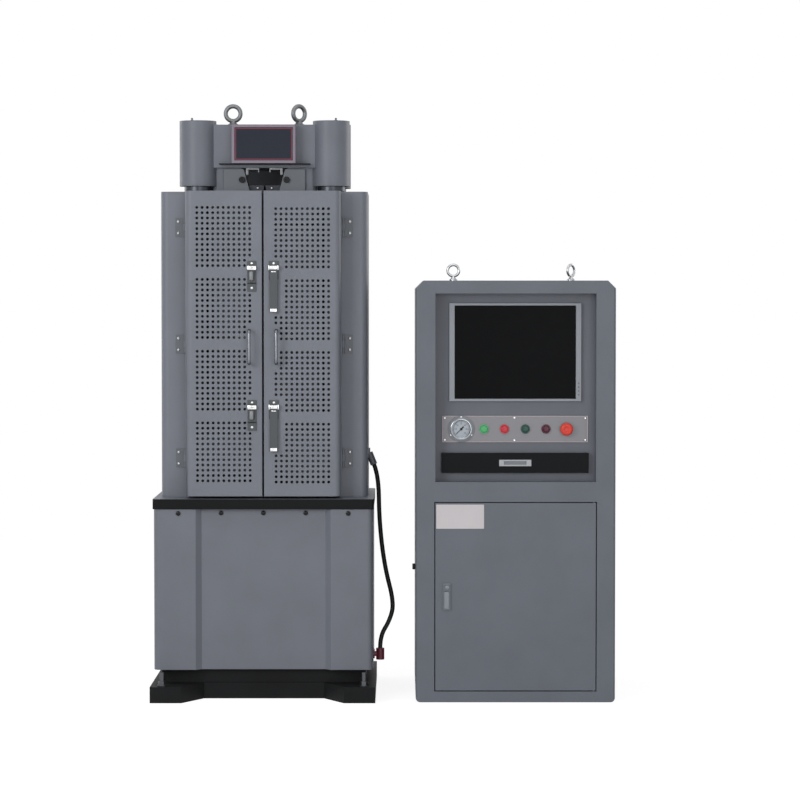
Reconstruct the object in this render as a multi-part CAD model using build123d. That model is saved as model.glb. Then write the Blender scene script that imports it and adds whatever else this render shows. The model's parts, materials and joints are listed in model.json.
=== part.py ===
from build123d import *
import math
import os

# Hydraulic universal testing machine: a load frame behind a guard with two doors, and
# the control cabinet that stands beside it. Millimetres, +X right, +Y back, +Z up,
# origin on the floor at the middle of the pair. Each unit is drawn about its own
# centre and moved to its place at the end.

# Arrangement of the two units
unit_gap = 125
base_width = 700
base_depth = 620
cab_width = 620
cab_depth = 600
cab_height = 1310

# Fits and sheet
fit = 0.05
loose = 0.3
seam = 2
sheet = 2

# Base casting, waisted in plan, and its plinth
base_thick = 50
foot_width = 98
foot_slant = 64
waist_depth = 106
plinth_width = 640
plinth_depth = 400
plinth_height = 45
stud_dia = 14
stud_inset_x = 36
stud_inset_y = 30
stud_rise = 42
nut_across = 22
nut_height = 12
washer_dia = 30
washer_thick = 3

# Lower casing and table plate
casing_width = 684
casing_depth = 490
casing_height = 503
casing_round = 20
pillar_width = 131
panel_step = 18
cover_return = 55
casing_ledge = 60
table_width = 690
table_depth = 500
table_thick = 32
table_round = 10
fold_round = 3

# Hydraulic lift
cylinder_dia = 200
cylinder_floor = 45
ram_dia = 150
ram_hole_dia = 170
ram_rest = 10

# Worktable, columns and platens
worktable_clear = 70
worktable_width = 530
worktable_depth = 280
worktable_thick = 130
worktable_round = 25
column_dia = 60
column_x = 210
column_y = 100
column_socket = 40
collar_dia = 86
collar_height = 17
platen_dia = 160
platen_thick = 20

# Upper crosshead
boss_dia = 116
boss_bottom = 1607
boss_height = 205
boss_cap = 12
head_bottom = 1665
head_width = 430
head_depth = 256
head_height = 135
housing_width = 330
housing_depth = 224
housing_bottom = 1490
housing_round = 20

# Wedge grips
wedge_angle = 15
throat_width = 56
lip = 10
lip_slot = 32
jaw_height = 110
jaw_depth = 200
jaw_gap = 6
jaw_stroke = 40
guide_thick = 10
guide_overlap = 6
guide_width = 128
guide_top_gap = 4

# Name box on the front of the upper crosshead
box_width = 200
box_height = 121
box_depth = 45
box_frame = 9
box_sink = 3
box_top_gap = 2

# Middle crosshead
cross_bottom = 1140
cross_height = 180
cross_width = 330
cross_depth = 260
lug_reach = 270
lug_depth = 110
platen_plate_width = 220
platen_plate_depth = 230
platen_plate_thick = 12

# Lead screws and their chain drive
screw_x = 215
screw_dia = 50
screw_top = 1475
screw_hole_dia = 66
bearing_dia = 90
bearing_height = 30
bearing_seat = 15
wheel_dia = 212
wheel_thick = 6
wheel_z = 300
pinion_dia = 70
pinion_y = 165
chain_thick = 7.5
chain_height = 14
chain_clear = 0.5
motor_dia = 108
motor_height = 180
motor_foot = 12
motor_shaft_dia = 20
motor_shaft_depth = 20

# Guard
guard_top = 1589
guard_width = 650
wing_front = -150
guard_back = 240
wing_round = 25
wing_reach = 236
back_flange = 40

# Doors
door_front = -240
door_width = 242
door_meet = 5
door_lift = 8
door_gap = 2
door_round = 21

# Hinges
hinge_levels = (753, 1111, 1477)
hinge_height = 59
hinge_leaf = 30
hinge_thick = 3
knuckle_dia = 12
pin_dia = 5

# Pull handles
pull_x = 42
pull_level = 1104
pull_length = 112
pull_rise = 36
pull_dia = 10
pull_bend = 12

# Latches: catch on the left door, base and lever on the right door
latch_levels = (1371, 938)
latch_x = 34
latch_plate_width = 28
latch_plate_length = 95
latch_plate_thick = 3
latch_block_height = 14
latch_block_rise = 13
latch_base_length = 58
lever_width = 24
lever_length = 138
lever_thick = 4
lever_pivot_rise = 8
lever_barrel_dia = 12
lever_pin_dia = 6
lever_tab = 9
ear_thick = 3

# Hose on the right side of the load frame: its corner points, from gland to union
hose_dia = 14
hose_route = (
    (343, 20, 722),
    (358, 14, 685),
    (360, -25, 545),
    (377, -75, 405),
    (408, -110, 290),
    (394, -138, 238),
    (364, -148, 190),
    (364, -148, 152),
)
gland_dia = 32
gland_thick = 6
nozzle_dia = 22
union_dia = 26
union_bottom = 116
union_port_dia = 16
union_flange_dia = 30
union_flange_thick = 5

# Cabinet shell
cab_chamfer = 25
cab_foot_round = 15
cab_edge_round = 8
recess_width = 498
recess_bottom = 686
recess_top = 1270
recess_depth = 55
cab_door_bottom = 37
cab_door_top = 621
cab_door_width = 498
cab_door_gap = 3
cab_door_flange = 20
vent_count = 6
vent_width = 260
vent_height = 8
vent_pitch = 26
vent_level = 330

# Cabinet door pivots and lock
pivot_inset = 6
pivot_dia = 6
pivot_reach = 6
tab_thick = 4
tab_width = 16
tab_depth = 12
lock_x = -214
lock_level = 329
lock_width = 25
lock_height = 84
lock_rise = 5
lock_handle_width = 15
lock_handle_height = 54
lock_handle_thick = 5
lock_pin_dia = 2.5

# Monitor
monitor_width = 411
monitor_height = 305
monitor_bottom = 935
monitor_rise = 12
bezel_side = 17
bezel_top = 7.5
screen_sink = 3
screen_thick = 4
monitor_back_inset = 16
monitor_back_depth = 40

# Control plate with gauge and buttons
plate_width = 454
plate_height = 82
plate_bottom = 807
plate_thick = 3
plate_window_margin = 11
gauge_x = -168
gauge_flange_dia = 82
gauge_flange_thick = 4
gauge_ring_dia = 68
gauge_dial_dia = 54
gauge_ring_rise = 7
gauge_body_dia = 56
gauge_body_depth = 24
needle_length = 21
needle_hub_dia = 8
needle_thick = 2
needle_rest = -135
button_x = (-97, -33, 32, 96)
button_dia = 22
button_ring_dia = 30
button_ring_rise = 4
button_rise = 7
button_head_dia = 26
button_head_thick = 3
estop_x = 160
estop_dia = 40
estop_thick = 13
estop_lift = 10

# Keyboard drawer
drawer_width = 458
drawer_height = 62
drawer_bottom = 712
drawer_front_thick = 16
tray_width = 430
tray_height = 44
tray_length = 340
runner_width = 12
runner_height = 6
cup_width = 100
cup_height = 20
cup_rise = 4
cup_slot_width = 70
cup_slot_height = 11
cup_pocket = 11

# Oil tank and pump set inside the cabinet
tank_width = 430
tank_depth = 380
tank_height = 300
tank_round = 20
tank_wall = 4
tank_lid = 8
pump_motor_dia = 150
pump_motor_length = 220
pump_foot = 20
pump_dia = 90
pump_length = 90
valve_width = 110
valve_depth = 120
valve_height = 130

# Lifting eyes: ring over all, wire, height of the ring's centre, neck, turn about Z
head_eye = (61, 14, 46, 22)
head_eye_x = 105
head_eye_turns = (0, 40)
cab_eye = (45, 9, 33, 14)
cab_eye_x = 188
cab_eye_turns = (0, 50)

# Side latch knob of the cabinet
knob_dia = 19
knob_rise = 10
knob_level = 417
knob_y = -230
knob_spindle_dia = 8

# Worked-out levels and places
pair_width = base_width + unit_gap + cab_width
main_place = Pos((base_width - pair_width) / 2, 0, 0)
cab_place = Pos((pair_width - cab_width) / 2, (base_depth - cab_depth) / 2, 0)
plinth_top = base_thick + plinth_height
casing_top = plinth_top + casing_height
table_top = casing_top + table_thick
worktable_bottom = table_top + worktable_clear
worktable_top = worktable_bottom + worktable_thick
column_bottom = worktable_top - column_socket
boss_top = boss_bottom + boss_height
column_top = boss_top - boss_cap
head_top = head_bottom + head_height
cross_top = cross_bottom + cross_height
wedge_slope = math.tan(math.radians(wedge_angle))
door_back = wing_front - door_gap
door_bottom = table_top + door_lift
hinge_axis_x = door_width + knuckle_dia / 2 + loose
hinge_axis_y = wing_front - knuckle_dia / 2 - loose
cab_front = -cab_depth / 2
panel_face = cab_front + recess_depth
plate_face = panel_face - plate_thick
plate_level = plate_bottom + plate_height / 2
corners = [(x, y) for x in (-1, 1) for y in (-1, 1)]


def block(x0, x1, y0, y1, z0, z1):
    """A rectangular block between two corners."""
    return Pos((x0 + x1) / 2, (y0 + y1) / 2, (z0 + z1) / 2) * Box(x1 - x0, y1 - y0, z1 - z0)


def upright(x, y, z0, z1, dia):
    """A round bar standing between two levels."""
    return Pos(x, y, (z0 + z1) / 2) * Cylinder(dia / 2, z1 - z0)


def outward(x, z, y0, y1, dia):
    """A round bar lying along Y between two depths."""
    return Pos(x, (y0 + y1) / 2, z) * Rot(90, 0, 0) * Cylinder(dia / 2, y1 - y0)


def crossways(y, z, x0, x1, dia):
    """A round bar lying along X between two sides."""
    return Pos((x0 + x1) / 2, y, z) * Rot(0, 90, 0) * Cylinder(dia / 2, x1 - x0)


def raised(face, z0, z1):
    """A plan face carried up from z0 to z1."""
    return Pos(0, 0, z0) * extrude(face, z1 - z0, dir=(0, 0, 1))


def through(points, y0, y1):
    """A front outline of (x, z) points carried back from y0 to y1."""
    face = Plane.XZ * make_face(Polyline(*points, close=True))
    return Pos(0, y0, 0) * extrude(face, y1 - y0, dir=(0, 1, 0))


def folded(points, rounds, z0, z1):
    """A sheet folded along an open plan line, its thickness on the line's left."""
    line = FilletPolyline(*points, radius=rounds)
    return raised(make_face(offset(line, amount=sheet, side=Side.LEFT)), z0, z1)


def mirrored(points):
    """A line's points followed by their mirror images, back to the start's side."""
    return list(points) + [(-x, y) for x, y in reversed(points)]


def group(pieces):
    """Separate solids kept together under one name."""
    return Compound([solid for piece in pieces for solid in piece.solids()])


def eyebolt(eye, x, y, z, turn):
    """A lifting eye: collar, neck and ring, standing on level z."""
    ring_dia, wire, centre, neck = eye
    section = Pos((ring_dia - wire) / 2, 0) * RegularPolygon(wire / 2, 6)
    ring = Rot(90, 0, 0) * revolve(Rot(90, 0, 0) * section, Axis.Z)
    stem = upright(0, 0, 0, centre - ring_dia / 2 + wire / 3, neck)
    return Pos(x, y, z) * Rot(0, 0, turn) * (stem + Pos(0, 0, centre) * ring)


# Base and anchor studs
def base_casting():
    half = base_width / 2
    front = base_depth / 2
    toe = half - foot_width
    waist = front - waist_depth
    corner = [(half, -front), (toe, -front), (toe - foot_slant, -waist)]
    line = mirrored(corner)
    line += [(x, -y) for x, y in reversed(line)]
    body = raised(make_face(Polyline(*line, close=True)), 0, base_thick)
    body += Pos(0, 0, base_thick + plinth_height / 2) * Box(plinth_width, plinth_depth, plinth_height)
    for side in (-1, 1):
        seat = plinth_top + bearing_seat
        body += upright(side * screw_x, 0, plinth_top, plinth_top + bearing_height, bearing_dia)
        body -= upright(side * screw_x, 0, seat, plinth_top + bearing_height, screw_dia + 2 * fit)
    for x, y in stud_places():
        body -= upright(x, y, 0, base_thick, stud_dia + 2 * fit)
    return body


def stud_places():
    reach_x = base_width / 2 - stud_inset_x
    reach_y = base_depth / 2 - stud_inset_y
    return [(x * reach_x, y * reach_y) for x, y in corners]


def anchor_studs():
    studs = []
    for x, y in stud_places():
        stud = upright(x, y, 0, base_thick + stud_rise, stud_dia)
        washer = RegularPolygon(washer_dia / 2, 12)
        nut = RegularPolygon(nut_across / 2, 6, major_radius=False)
        stud += Pos(x, y, 0) * raised(washer, base_thick, base_thick + washer_thick)
        nut_bottom = base_thick + washer_thick
        stud += Pos(x, y, 0) * raised(nut, nut_bottom, nut_bottom + nut_height)
        studs.append(stud)
    return group(studs)


# Lower casing and table
def lower_front_cover():
    side = casing_width / 2
    front = -casing_depth / 2
    inner = side - pillar_width
    half_line = [
        (-side, front + cover_return),
        (-side, front),
        (-inner, front),
        (-inner + panel_step, front + panel_step),
    ]
    rounds = [casing_round] + [fold_round] * 4 + [casing_round]
    cover = folded(mirrored(half_line), rounds, plinth_top, casing_top)
    ledge = block(-inner, inner, front + panel_step, front + casing_ledge, plinth_top, plinth_top + sheet)
    return cover + ledge


def lower_casing():
    side = casing_width / 2
    back = casing_depth / 2
    seam_y = -back + cover_return + seam
    line = mirrored([(side, seam_y), (side, back)])
    shell = folded(line, [casing_round] * 2, plinth_top, casing_top)
    for x in (-1, 1):
        x0, x1 = sorted((x * (side - casing_ledge), x * (side - sheet)))
        shell += block(x0, x1, seam_y, back - casing_round, plinth_top, plinth_top + sheet)
    return shell


def table_plate():
    plate = raised(RectangleRounded(table_width, table_depth, table_round), casing_top, table_top)
    plate -= upright(0, 0, casing_top, table_top, ram_hole_dia)
    for side in (-1, 1):
        plate -= upright(side * screw_x, 0, casing_top, table_top, screw_dia + 2 * fit)
    return plate


# Hydraulic lift and lifting frame
def main_cylinder():
    body = upright(0, 0, plinth_top, casing_top, cylinder_dia)
    return body - upright(0, 0, plinth_top + cylinder_floor, casing_top, ram_dia + 2 * fit)


def piston():
    return upright(0, 0, plinth_top + cylinder_floor + ram_rest, worktable_bottom, ram_dia)


def column_places():
    return [(x * column_x, y * column_y) for x, y in corners]


def worktable():
    plan = RectangleRounded(worktable_width, worktable_depth, worktable_round)
    body = raised(plan, worktable_bottom, worktable_top)
    for side in (-1, 1):
        body -= upright(side * screw_x, 0, worktable_bottom, worktable_top, screw_hole_dia)
    for x, y in column_places():
        body -= upright(x, y, column_bottom, worktable_top, column_dia + 2 * fit)
    return body


def columns():
    bars = []
    for x, y in column_places():
        bar = upright(x, y, column_bottom, column_top, column_dia)
        bars.append(bar + upright(x, y, boss_bottom - collar_height, boss_bottom, collar_dia))
    return group(bars)


def lower_platen():
    return upright(0, 0, worktable_top, worktable_top + platen_thick, platen_dia)


# Grips: a wedge-shaped cavity, narrow at one end, with a jaw on each slope
def cavity(narrow_z, wide_z, lip_z, front):
    """The cavity, open at the front, with a slot through the lip at its narrow end."""
    half = throat_width / 2
    back = jaw_depth / 2 + loose
    wide = half + abs(wide_z - narrow_z) * wedge_slope
    mouth = through([(-half, narrow_z), (half, narrow_z), (wide, wide_z), (-wide, wide_z)], front, back)
    low, high = sorted((narrow_z, lip_z))
    return mouth + block(-lip_slot / 2, lip_slot / 2, front, back, low, high)


def jaw(side, narrow_z, z0, z1, gap):
    """One wedge jaw: upright inner face, sloped back against the cavity."""
    slack = loose / math.cos(math.radians(wedge_angle))
    back = [throat_width / 2 + abs(z - narrow_z) * wedge_slope - slack for z in (z0, z1)]
    points = [(gap / 2, z0), (back[0], z0), (back[1], z1), (gap / 2, z1)]
    return through([(side * x, z) for x, z in points], -jaw_depth / 2, jaw_depth / 2)


def upper_jaw(side):
    narrow = housing_bottom + lip
    return jaw(side, narrow, narrow + loose, narrow + loose + jaw_height, jaw_gap)


def lower_jaw(side):
    narrow = cross_top - lip
    open_gap = jaw_gap + 2 * jaw_stroke * math.sin(math.radians(wedge_angle))
    low = cross_bottom + loose
    return jaw(side, narrow, low, low + jaw_height, open_gap)


# Crossheads
def upper_crosshead():
    plan = Rectangle(head_width, head_depth)
    for x, y in column_places():
        plan += Pos(x, y) * Circle(boss_dia / 2)
    body = raised(plan, head_bottom, head_top)
    body += raised(RectangleRounded(housing_width, housing_depth, housing_round), housing_bottom, head_bottom)
    body -= cavity(housing_bottom + lip, head_bottom, housing_bottom, -housing_depth / 2)
    for x, y in column_places():
        body += upright(x, y, boss_bottom, head_bottom, boss_dia)
        body += upright(x, y, head_top, boss_top, boss_dia)
    for x, y in column_places():
        body -= upright(x, y, boss_bottom, column_top, column_dia + 2 * fit)
    return body


def grip_plates():
    """Guide plates beside the cavity's mouth, which keep the jaws in."""
    low = housing_bottom + lip
    high = head_bottom - guide_top_gap
    edge = [throat_width / 2 + (z - low) * wedge_slope - guide_overlap for z in (low, high)]
    outline = [(edge[0], low), (guide_width, low), (guide_width, high), (edge[1], high)]
    face = -housing_depth / 2
    plates = []
    for side in (-1, 1):
        plates.append(through([(side * x, z) for x, z in outline], face - guide_thick, face))
    return group(plates)


def name_box():
    front = -head_depth / 2 - box_depth
    top = head_top - box_top_gap
    half = box_width / 2
    box = block(-half, half, front, -head_depth / 2, top - box_height, top)
    inner = half - box_frame
    bottom = top - box_height + box_frame
    return box - block(-inner, inner, front, front + box_sink, bottom, top - box_frame)


def head_eyebolts():
    eyes = []
    for side, turn in zip((-1, 1), head_eye_turns):
        eyes.append(eyebolt(head_eye, side * head_eye_x, 0, head_top, turn))
    return group(eyes)


def middle_crosshead():
    body = raised(RectangleRounded(cross_width, cross_depth, housing_round), cross_bottom, cross_top)
    body += raised(RectangleRounded(2 * lug_reach, lug_depth, housing_round), cross_bottom, cross_top)
    body -= cavity(cross_top - lip, cross_bottom, cross_top, -cross_depth / 2)
    for side in (-1, 1):
        body -= upright(side * screw_x, 0, cross_bottom, cross_top, screw_dia + 2 * fit)
    return body


def upper_platen():
    plate_low = cross_bottom - platen_plate_thick
    plan = RectangleRounded(platen_plate_width, platen_plate_depth, worktable_round)
    plate = raised(plan, plate_low, cross_bottom)
    return plate + upright(0, 0, plate_low - platen_thick, plate_low, platen_dia)


# Screw drive
def lead_screw(side):
    screw = upright(side * screw_x, 0, plinth_top + bearing_seat, screw_top, screw_dia)
    return screw + upright(side * screw_x, 0, wheel_z, wheel_z + wheel_thick, wheel_dia)


def chain_hull(grow):
    """The loop round both screw wheels and the motor wheel, at a distance from them."""
    wheels = [(-screw_x, 0, wheel_dia), (screw_x, 0, wheel_dia), (0, pinion_y, pinion_dia)]
    circles = [Pos(x, y) * Circle(dia / 2 + grow) for x, y, dia in wheels]
    return make_hull([circle.edge() for circle in circles])


def drive_chain():
    loop = chain_hull(chain_clear + chain_thick) - chain_hull(chain_clear)
    middle = wheel_z + wheel_thick / 2
    return raised(loop, middle - chain_height / 2, middle + chain_height / 2)


def drive_motor():
    top = plinth_top + motor_height
    half = motor_dia / 2
    body = upright(0, pinion_y, plinth_top, top, motor_dia)
    body += block(-half, half, pinion_y - half, pinion_y + half, plinth_top, plinth_top + motor_foot)
    return body - upright(0, pinion_y, top - motor_shaft_depth, top, motor_shaft_dia + 2 * fit)


def motor_wheel():
    low = plinth_top + motor_height - motor_shaft_depth + loose
    wheel = upright(0, pinion_y, wheel_z, wheel_z + wheel_thick, pinion_dia)
    return wheel + upright(0, pinion_y, low, wheel_z + wheel_thick, motor_shaft_dia)


# Guard panels
def side_panel(side):
    half = guard_width / 2
    line = [
        (wing_reach, wing_front),
        (half, wing_front),
        (half, guard_back),
        (half - wing_round - back_flange, guard_back),
    ]
    panel = folded(line, [wing_round, wing_round], table_top, guard_top)
    return panel if side > 0 else mirror(panel, Plane.YZ)


def rear_panel():
    half = guard_width / 2 - wing_round - fold_round
    return block(-half, half, guard_back - 2 * sheet, guard_back - sheet, table_top, guard_top)


# Doors and hinges
def hinge_barrel(side, z0, z1):
    """An eight-sided length of hinge barrel on the hinge line."""
    outline = Rot(0, 0, 22.5) * RegularPolygon(knuckle_dia / 2, 8)
    return Pos(side * hinge_axis_x, hinge_axis_y, 0) * raised(outline, z0, z1)


def hinge_thirds(level):
    third = hinge_height / 3
    low = level - hinge_height / 2
    return low, low + third, low + 2 * third, low + hinge_height


def hinge_frame_leaves():
    leaves = []
    for side in (-1, 1):
        for level in hinge_levels:
            low, lower, upper, high = hinge_thirds(level)
            x0, x1 = sorted((side * hinge_axis_x, side * (hinge_axis_x + hinge_leaf)))
            leaf = block(x0, x1, wing_front - hinge_thick, wing_front, low, high)
            gap_x = side * hinge_axis_x
            gap = upright(gap_x, hinge_axis_y, lower - loose, upper + loose, knuckle_dia + 2 * loose + 1)
            leaf = leaf + hinge_barrel(side, low, high) - gap
            leaves.append(leaf + upright(gap_x, hinge_axis_y, low, high, pin_dia))
    return group(leaves)


def door_pan(side):
    """A folded door tray with its hinge edge rounded, and its share of each hinge."""
    line = [
        (-door_width, door_back),
        (-door_width, door_front),
        (-door_meet / 2, door_front),
        (-door_meet / 2, door_back),
    ]
    pan = folded(line, [door_round, fold_round], door_bottom, guard_top)
    rim = make_face(Polyline(*line, close=True))
    corner = rim.vertices().sort_by_distance((-door_width, door_front, 0))[0]
    rim = fillet(corner, door_round)
    pan += raised(rim, door_bottom, door_bottom + sheet)
    pan += raised(rim, guard_top - sheet, guard_top)
    for level in hinge_levels:
        low, lower, upper, high = hinge_thirds(level)
        near = hinge_axis_y - hinge_leaf
        leaf = block(-door_width - hinge_thick, -door_width, near, hinge_axis_y - knuckle_dia / 2, low, high)
        tongue = block(-door_width - hinge_thick, -door_width, near, hinge_axis_y, lower, upper)
        knuckle = hinge_barrel(-1, lower, upper) + tongue
        pan += leaf + knuckle - upright(-hinge_axis_x, hinge_axis_y, low, high, pin_dia + 2 * fit)
    return pan if side < 0 else mirror(pan, Plane.YZ)


def pull_handle(side):
    """A bow handle of round bar, standing on the door."""
    half = (pull_length - pull_dia) / 2
    bow = [(door_front, -half), (door_front - pull_rise, -half)]
    line = [(y, z + pull_level) for y, z in bow + [(y, -z) for y, z in reversed(bow)]]
    path = Plane.YZ * FilletPolyline(*line, radius=pull_bend)
    start = Plane(origin=path @ 0, z_dir=path % 0)
    bar = sweep(start * RegularPolygon(pull_dia / 2, 8), path=path)
    return Pos(side * pull_x, 0, 0) * bar


# Latches
def latch_catch(level):
    """Base plate with a raised block at its top and a tongue below it."""
    face = door_front - latch_plate_thick
    half = latch_plate_width / 2
    bottom = level - latch_plate_length
    plate = block(-half, half, face, door_front, bottom, level)
    high = level - latch_block_height
    low = high - latch_block_height
    hook = block(-half + 3, half - 3, face - latch_block_rise, face, low, high)
    tongue_low = low - 2 * latch_block_height
    tongue = [(face, low), (face - latch_block_rise, low), (face - 4, tongue_low), (face, tongue_low)]
    profile = Plane.YZ * make_face(Polyline(*tongue, close=True))
    hook += Pos(-half + 6, 0, 0) * extrude(profile, latch_plate_width - 12, dir=(1, 0, 0))
    return Pos(-latch_x, 0, 0) * (plate + hook)


def lever_axis():
    return door_front - latch_plate_thick - lever_pivot_rise


def latch_base(level):
    """Base plate with two ears that hold the lever's pin."""
    face = door_front - latch_plate_thick
    half = lever_width / 2 + loose + ear_thick
    pivot = level - latch_block_height * 1.5
    base = block(-half, half, face, door_front, level - latch_base_length, level)
    for side in (-1, 1):
        x0, x1 = sorted((side * half, side * (half - ear_thick)))
        ear_front = face - lever_pivot_rise - lever_barrel_dia / 2
        base += block(x0, x1, ear_front, face, pivot - latch_block_height / 2, pivot + latch_block_height / 2)
    base += crossways(lever_axis(), pivot, -half, half, lever_pin_dia)
    return Pos(latch_x, 0, 0) * base


def latch_lever(level):
    """Strap that hangs from its barrel on the pin, with a turned-out tab at its end."""
    half = lever_width / 2
    pivot = level - latch_block_height * 1.5
    low = pivot - lever_length
    y = lever_axis()
    strap = block(-half, half, y - lever_thick / 2, y + lever_thick / 2, low, pivot)
    strap += crossways(y, pivot, -half, half, lever_barrel_dia)
    tab_front = y - lever_thick / 2 - lever_tab
    strap += block(-half + 2, half - 2, tab_front, y - lever_thick / 2, low, low + lever_thick)
    strap -= crossways(y, pivot, -half, half, lever_pin_dia + 2 * fit)
    return Pos(latch_x, 0, 0) * strap


# Hose and its two ends
def hose_line():
    """The route with each corner rounded as widely as its runs allow."""
    points = [Vector(*point) for point in hose_route]
    radii = []
    for before, here, after in zip(points, points[1:], points[2:]):
        turn = math.radians((here - before).get_angle(after - here))
        run = min((here - before).length, (after - here).length)
        radii.append(0.45 * run / math.tan(turn / 2))
    return FilletPolyline(*points, radius=radii)


def drain_hose():
    path = hose_line()
    start = Plane(origin=path @ 0, z_dir=path % 0)
    return sweep(start * RegularPolygon(hose_dia / 2, 8), path=path)


def hose_gland():
    """Flange on the guard's side with a short nozzle along the hose's start."""
    wall = guard_width / 2
    start = Vector(*hose_route[0])
    along = (Vector(*hose_route[1]) - start).normalized()
    root = start - along * ((start.X - wall - gland_thick / 2) / along.X)
    flange = crossways(root.Y, root.Z, wall, wall + gland_thick, gland_dia)
    line = Line(root, start)
    nozzle = sweep(Plane(origin=root, z_dir=along) * Circle(nozzle_dia / 2), path=line)
    body = flange + nozzle
    return body - block(wall - nozzle_dia, wall, root.Y - gland_dia, root.Y + gland_dia, 0, guard_top)


def hose_union():
    """Upright collar under the hose's end, with its port into the casing's side."""
    x, y, z = hose_route[-1]
    side = casing_width / 2
    level = (union_bottom + z) / 2
    collar = upright(x, y, union_bottom, z, union_dia)
    collar += crossways(y, level, side, x, union_port_dia)
    collar += crossways(y, level, side, side + union_flange_thick, union_flange_dia)
    return collar


# Cabinet
def cabinet_body(inset):
    """The cabinet's closed form, smaller by inset on every side but its floor line."""
    half = cab_width / 2 - inset
    top = cab_height - inset
    cut = cab_chamfer - inset * (2 - math.sqrt(2))
    front = [(-half, inset), (half, inset), (half, top - cut), (half - cut, top), (-half + cut, top), (-half, top - cut)]
    outline = make_face(Polyline(*front, close=True))
    feet = outline.vertices().group_by(Axis.Y)[0]
    outline = Plane.XZ * fillet(feet, cab_foot_round - inset)
    depth = cab_depth / 2 - inset
    plan = RectangleRounded(2 * half, 2 * depth, cab_edge_round - inset)
    return raised(plan, inset, top) & extrude(outline, cab_depth, both=True)


def cabinet_shell():
    half = recess_width / 2
    shell = cabinet_body(0) - cabinet_body(sheet)
    shell -= block(-half, half, cab_front, cab_front + sheet, recess_bottom, recess_top)
    door_half = cab_door_width / 2 + cab_door_gap
    low = cab_door_bottom - cab_door_gap
    high = cab_door_top + cab_door_gap
    shell -= block(-door_half, door_half, cab_front, cab_front + sheet, low, high)
    x, y = pivot_place()
    for z0 in (low - tab_thick, high):
        tab = block(x - tab_width / 2, x + tab_width / 2, cab_front + sheet, y + tab_depth / 2, z0, z0 + tab_thick)
        shell += tab - upright(x, y, z0, z0 + tab_thick, pivot_dia + 2 * fit)
    vent = vent_width / 2
    for row in range(vent_count):
        z = vent_level + row * vent_pitch
        shell -= block(-vent, vent, cab_depth / 2 - sheet, cab_depth / 2, z, z + vent_height)
    side = -cab_width / 2
    return shell - crossways(knob_y, knob_level, side, side + sheet, knob_spindle_dia + 2 * fit)


def pivot_place():
    return cab_door_width / 2 - pivot_inset, cab_front + pivot_inset


def cabinet_door():
    half = cab_door_width / 2
    back = cab_front + cab_door_flange
    door = block(-half, half, cab_front, back, cab_door_bottom, cab_door_top)
    inside = half - sheet
    door -= block(-inside, inside, cab_front + sheet, back, cab_door_bottom + sheet, cab_door_top - sheet)
    x, y = pivot_place()
    door += upright(x, y, cab_door_bottom - pivot_reach, cab_door_bottom, pivot_dia)
    door += upright(x, y, cab_door_top, cab_door_top + pivot_reach, pivot_dia)
    low = lock_level - lock_height / 2
    lock_half = lock_width / 2
    case = block(-lock_half, lock_half, cab_front - lock_rise, cab_front, low, low + lock_height)
    slot = lock_handle_width / 2 + loose
    handle_low, handle_high = lock_handle_span()
    case -= block(-slot, slot, cab_front - lock_rise, cab_front, handle_low - loose, handle_high + loose)
    case += crossways(lock_axis_y(), lock_axis_z(), -lock_half, lock_half, lock_pin_dia)
    return door + Pos(lock_x, 0, 0) * case


def lock_handle_span():
    low = lock_level - lock_height / 2 + lock_handle_thick
    return low, low + lock_handle_height


def lock_axis_y():
    return cab_front - lock_handle_thick / 2 - loose


def lock_axis_z():
    return lock_handle_span()[1] - lock_handle_thick / 2


def door_lock():
    """The lock's pull handle, which swings out about its pin at the top."""
    half = lock_handle_width / 2
    low = lock_handle_span()[0]
    front = lock_axis_y() - lock_handle_thick / 2
    grip = block(-half, half, front, front + lock_handle_thick, low, lock_axis_z())
    grip += crossways(lock_axis_y(), lock_axis_z(), -half, half, lock_handle_thick)
    grip -= crossways(lock_axis_y(), lock_axis_z(), -half, half, lock_pin_dia + 2 * fit)
    return Pos(lock_x, 0, 0) * grip


def tray_bottom():
    return drawer_bottom + (drawer_height - tray_height) / 2


def instrument_panel():
    """The sunken tray behind the front opening, with its windows and drawer runners."""
    half = recess_width / 2
    front = cab_front + sheet
    back = panel_face + sheet
    tray = block(-half - sheet, half + sheet, front, back, recess_bottom - sheet, recess_top + sheet)
    tray -= block(-half, half, front, panel_face, recess_bottom, recess_top)
    x = monitor_width / 2 - monitor_back_inset + loose
    z0 = monitor_bottom + monitor_back_inset - loose
    z1 = monitor_bottom + monitor_height - monitor_back_inset + loose
    tray -= block(-x, x, panel_face, back, z0, z1)
    x = plate_width / 2 - plate_window_margin
    margin = plate_window_margin
    tray -= block(-x, x, panel_face, back, plate_bottom + margin, plate_bottom + plate_height - margin)
    x = tray_width / 2 + runner_width
    z0 = tray_bottom() - loose
    tray -= block(-x, x, panel_face, back, z0, z0 + tray_height + 2 * loose)
    for side in (-1, 1):
        x0, x1 = sorted((side * (tray_width / 2 - runner_width), side * (tray_width / 2 + runner_width)))
        tray += block(x0, x1, panel_face, panel_face + tray_length, z0 - runner_height, z0)
    return tray


def monitor_housing():
    half = monitor_width / 2
    low = monitor_bottom
    high = low + monitor_height
    front = panel_face - monitor_rise
    bezel = block(-half, half, front, panel_face, low, high)
    inset = monitor_back_inset
    rear = panel_face + monitor_back_depth
    bezel += block(-half + inset, half - inset, panel_face, rear, low + inset, high - inset)
    x = half - bezel_side
    pocket = front + screen_sink + screen_thick
    return bezel - block(-x, x, front, pocket, low + bezel_top, high - bezel_top)


def monitor_screen():
    x = monitor_width / 2 - bezel_side - fit
    low = monitor_bottom + bezel_top + fit
    high = monitor_bottom + monitor_height - bezel_top - fit
    front = panel_face - monitor_rise + screen_sink
    return block(-x, x, front, front + screen_thick, low, high)


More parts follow.
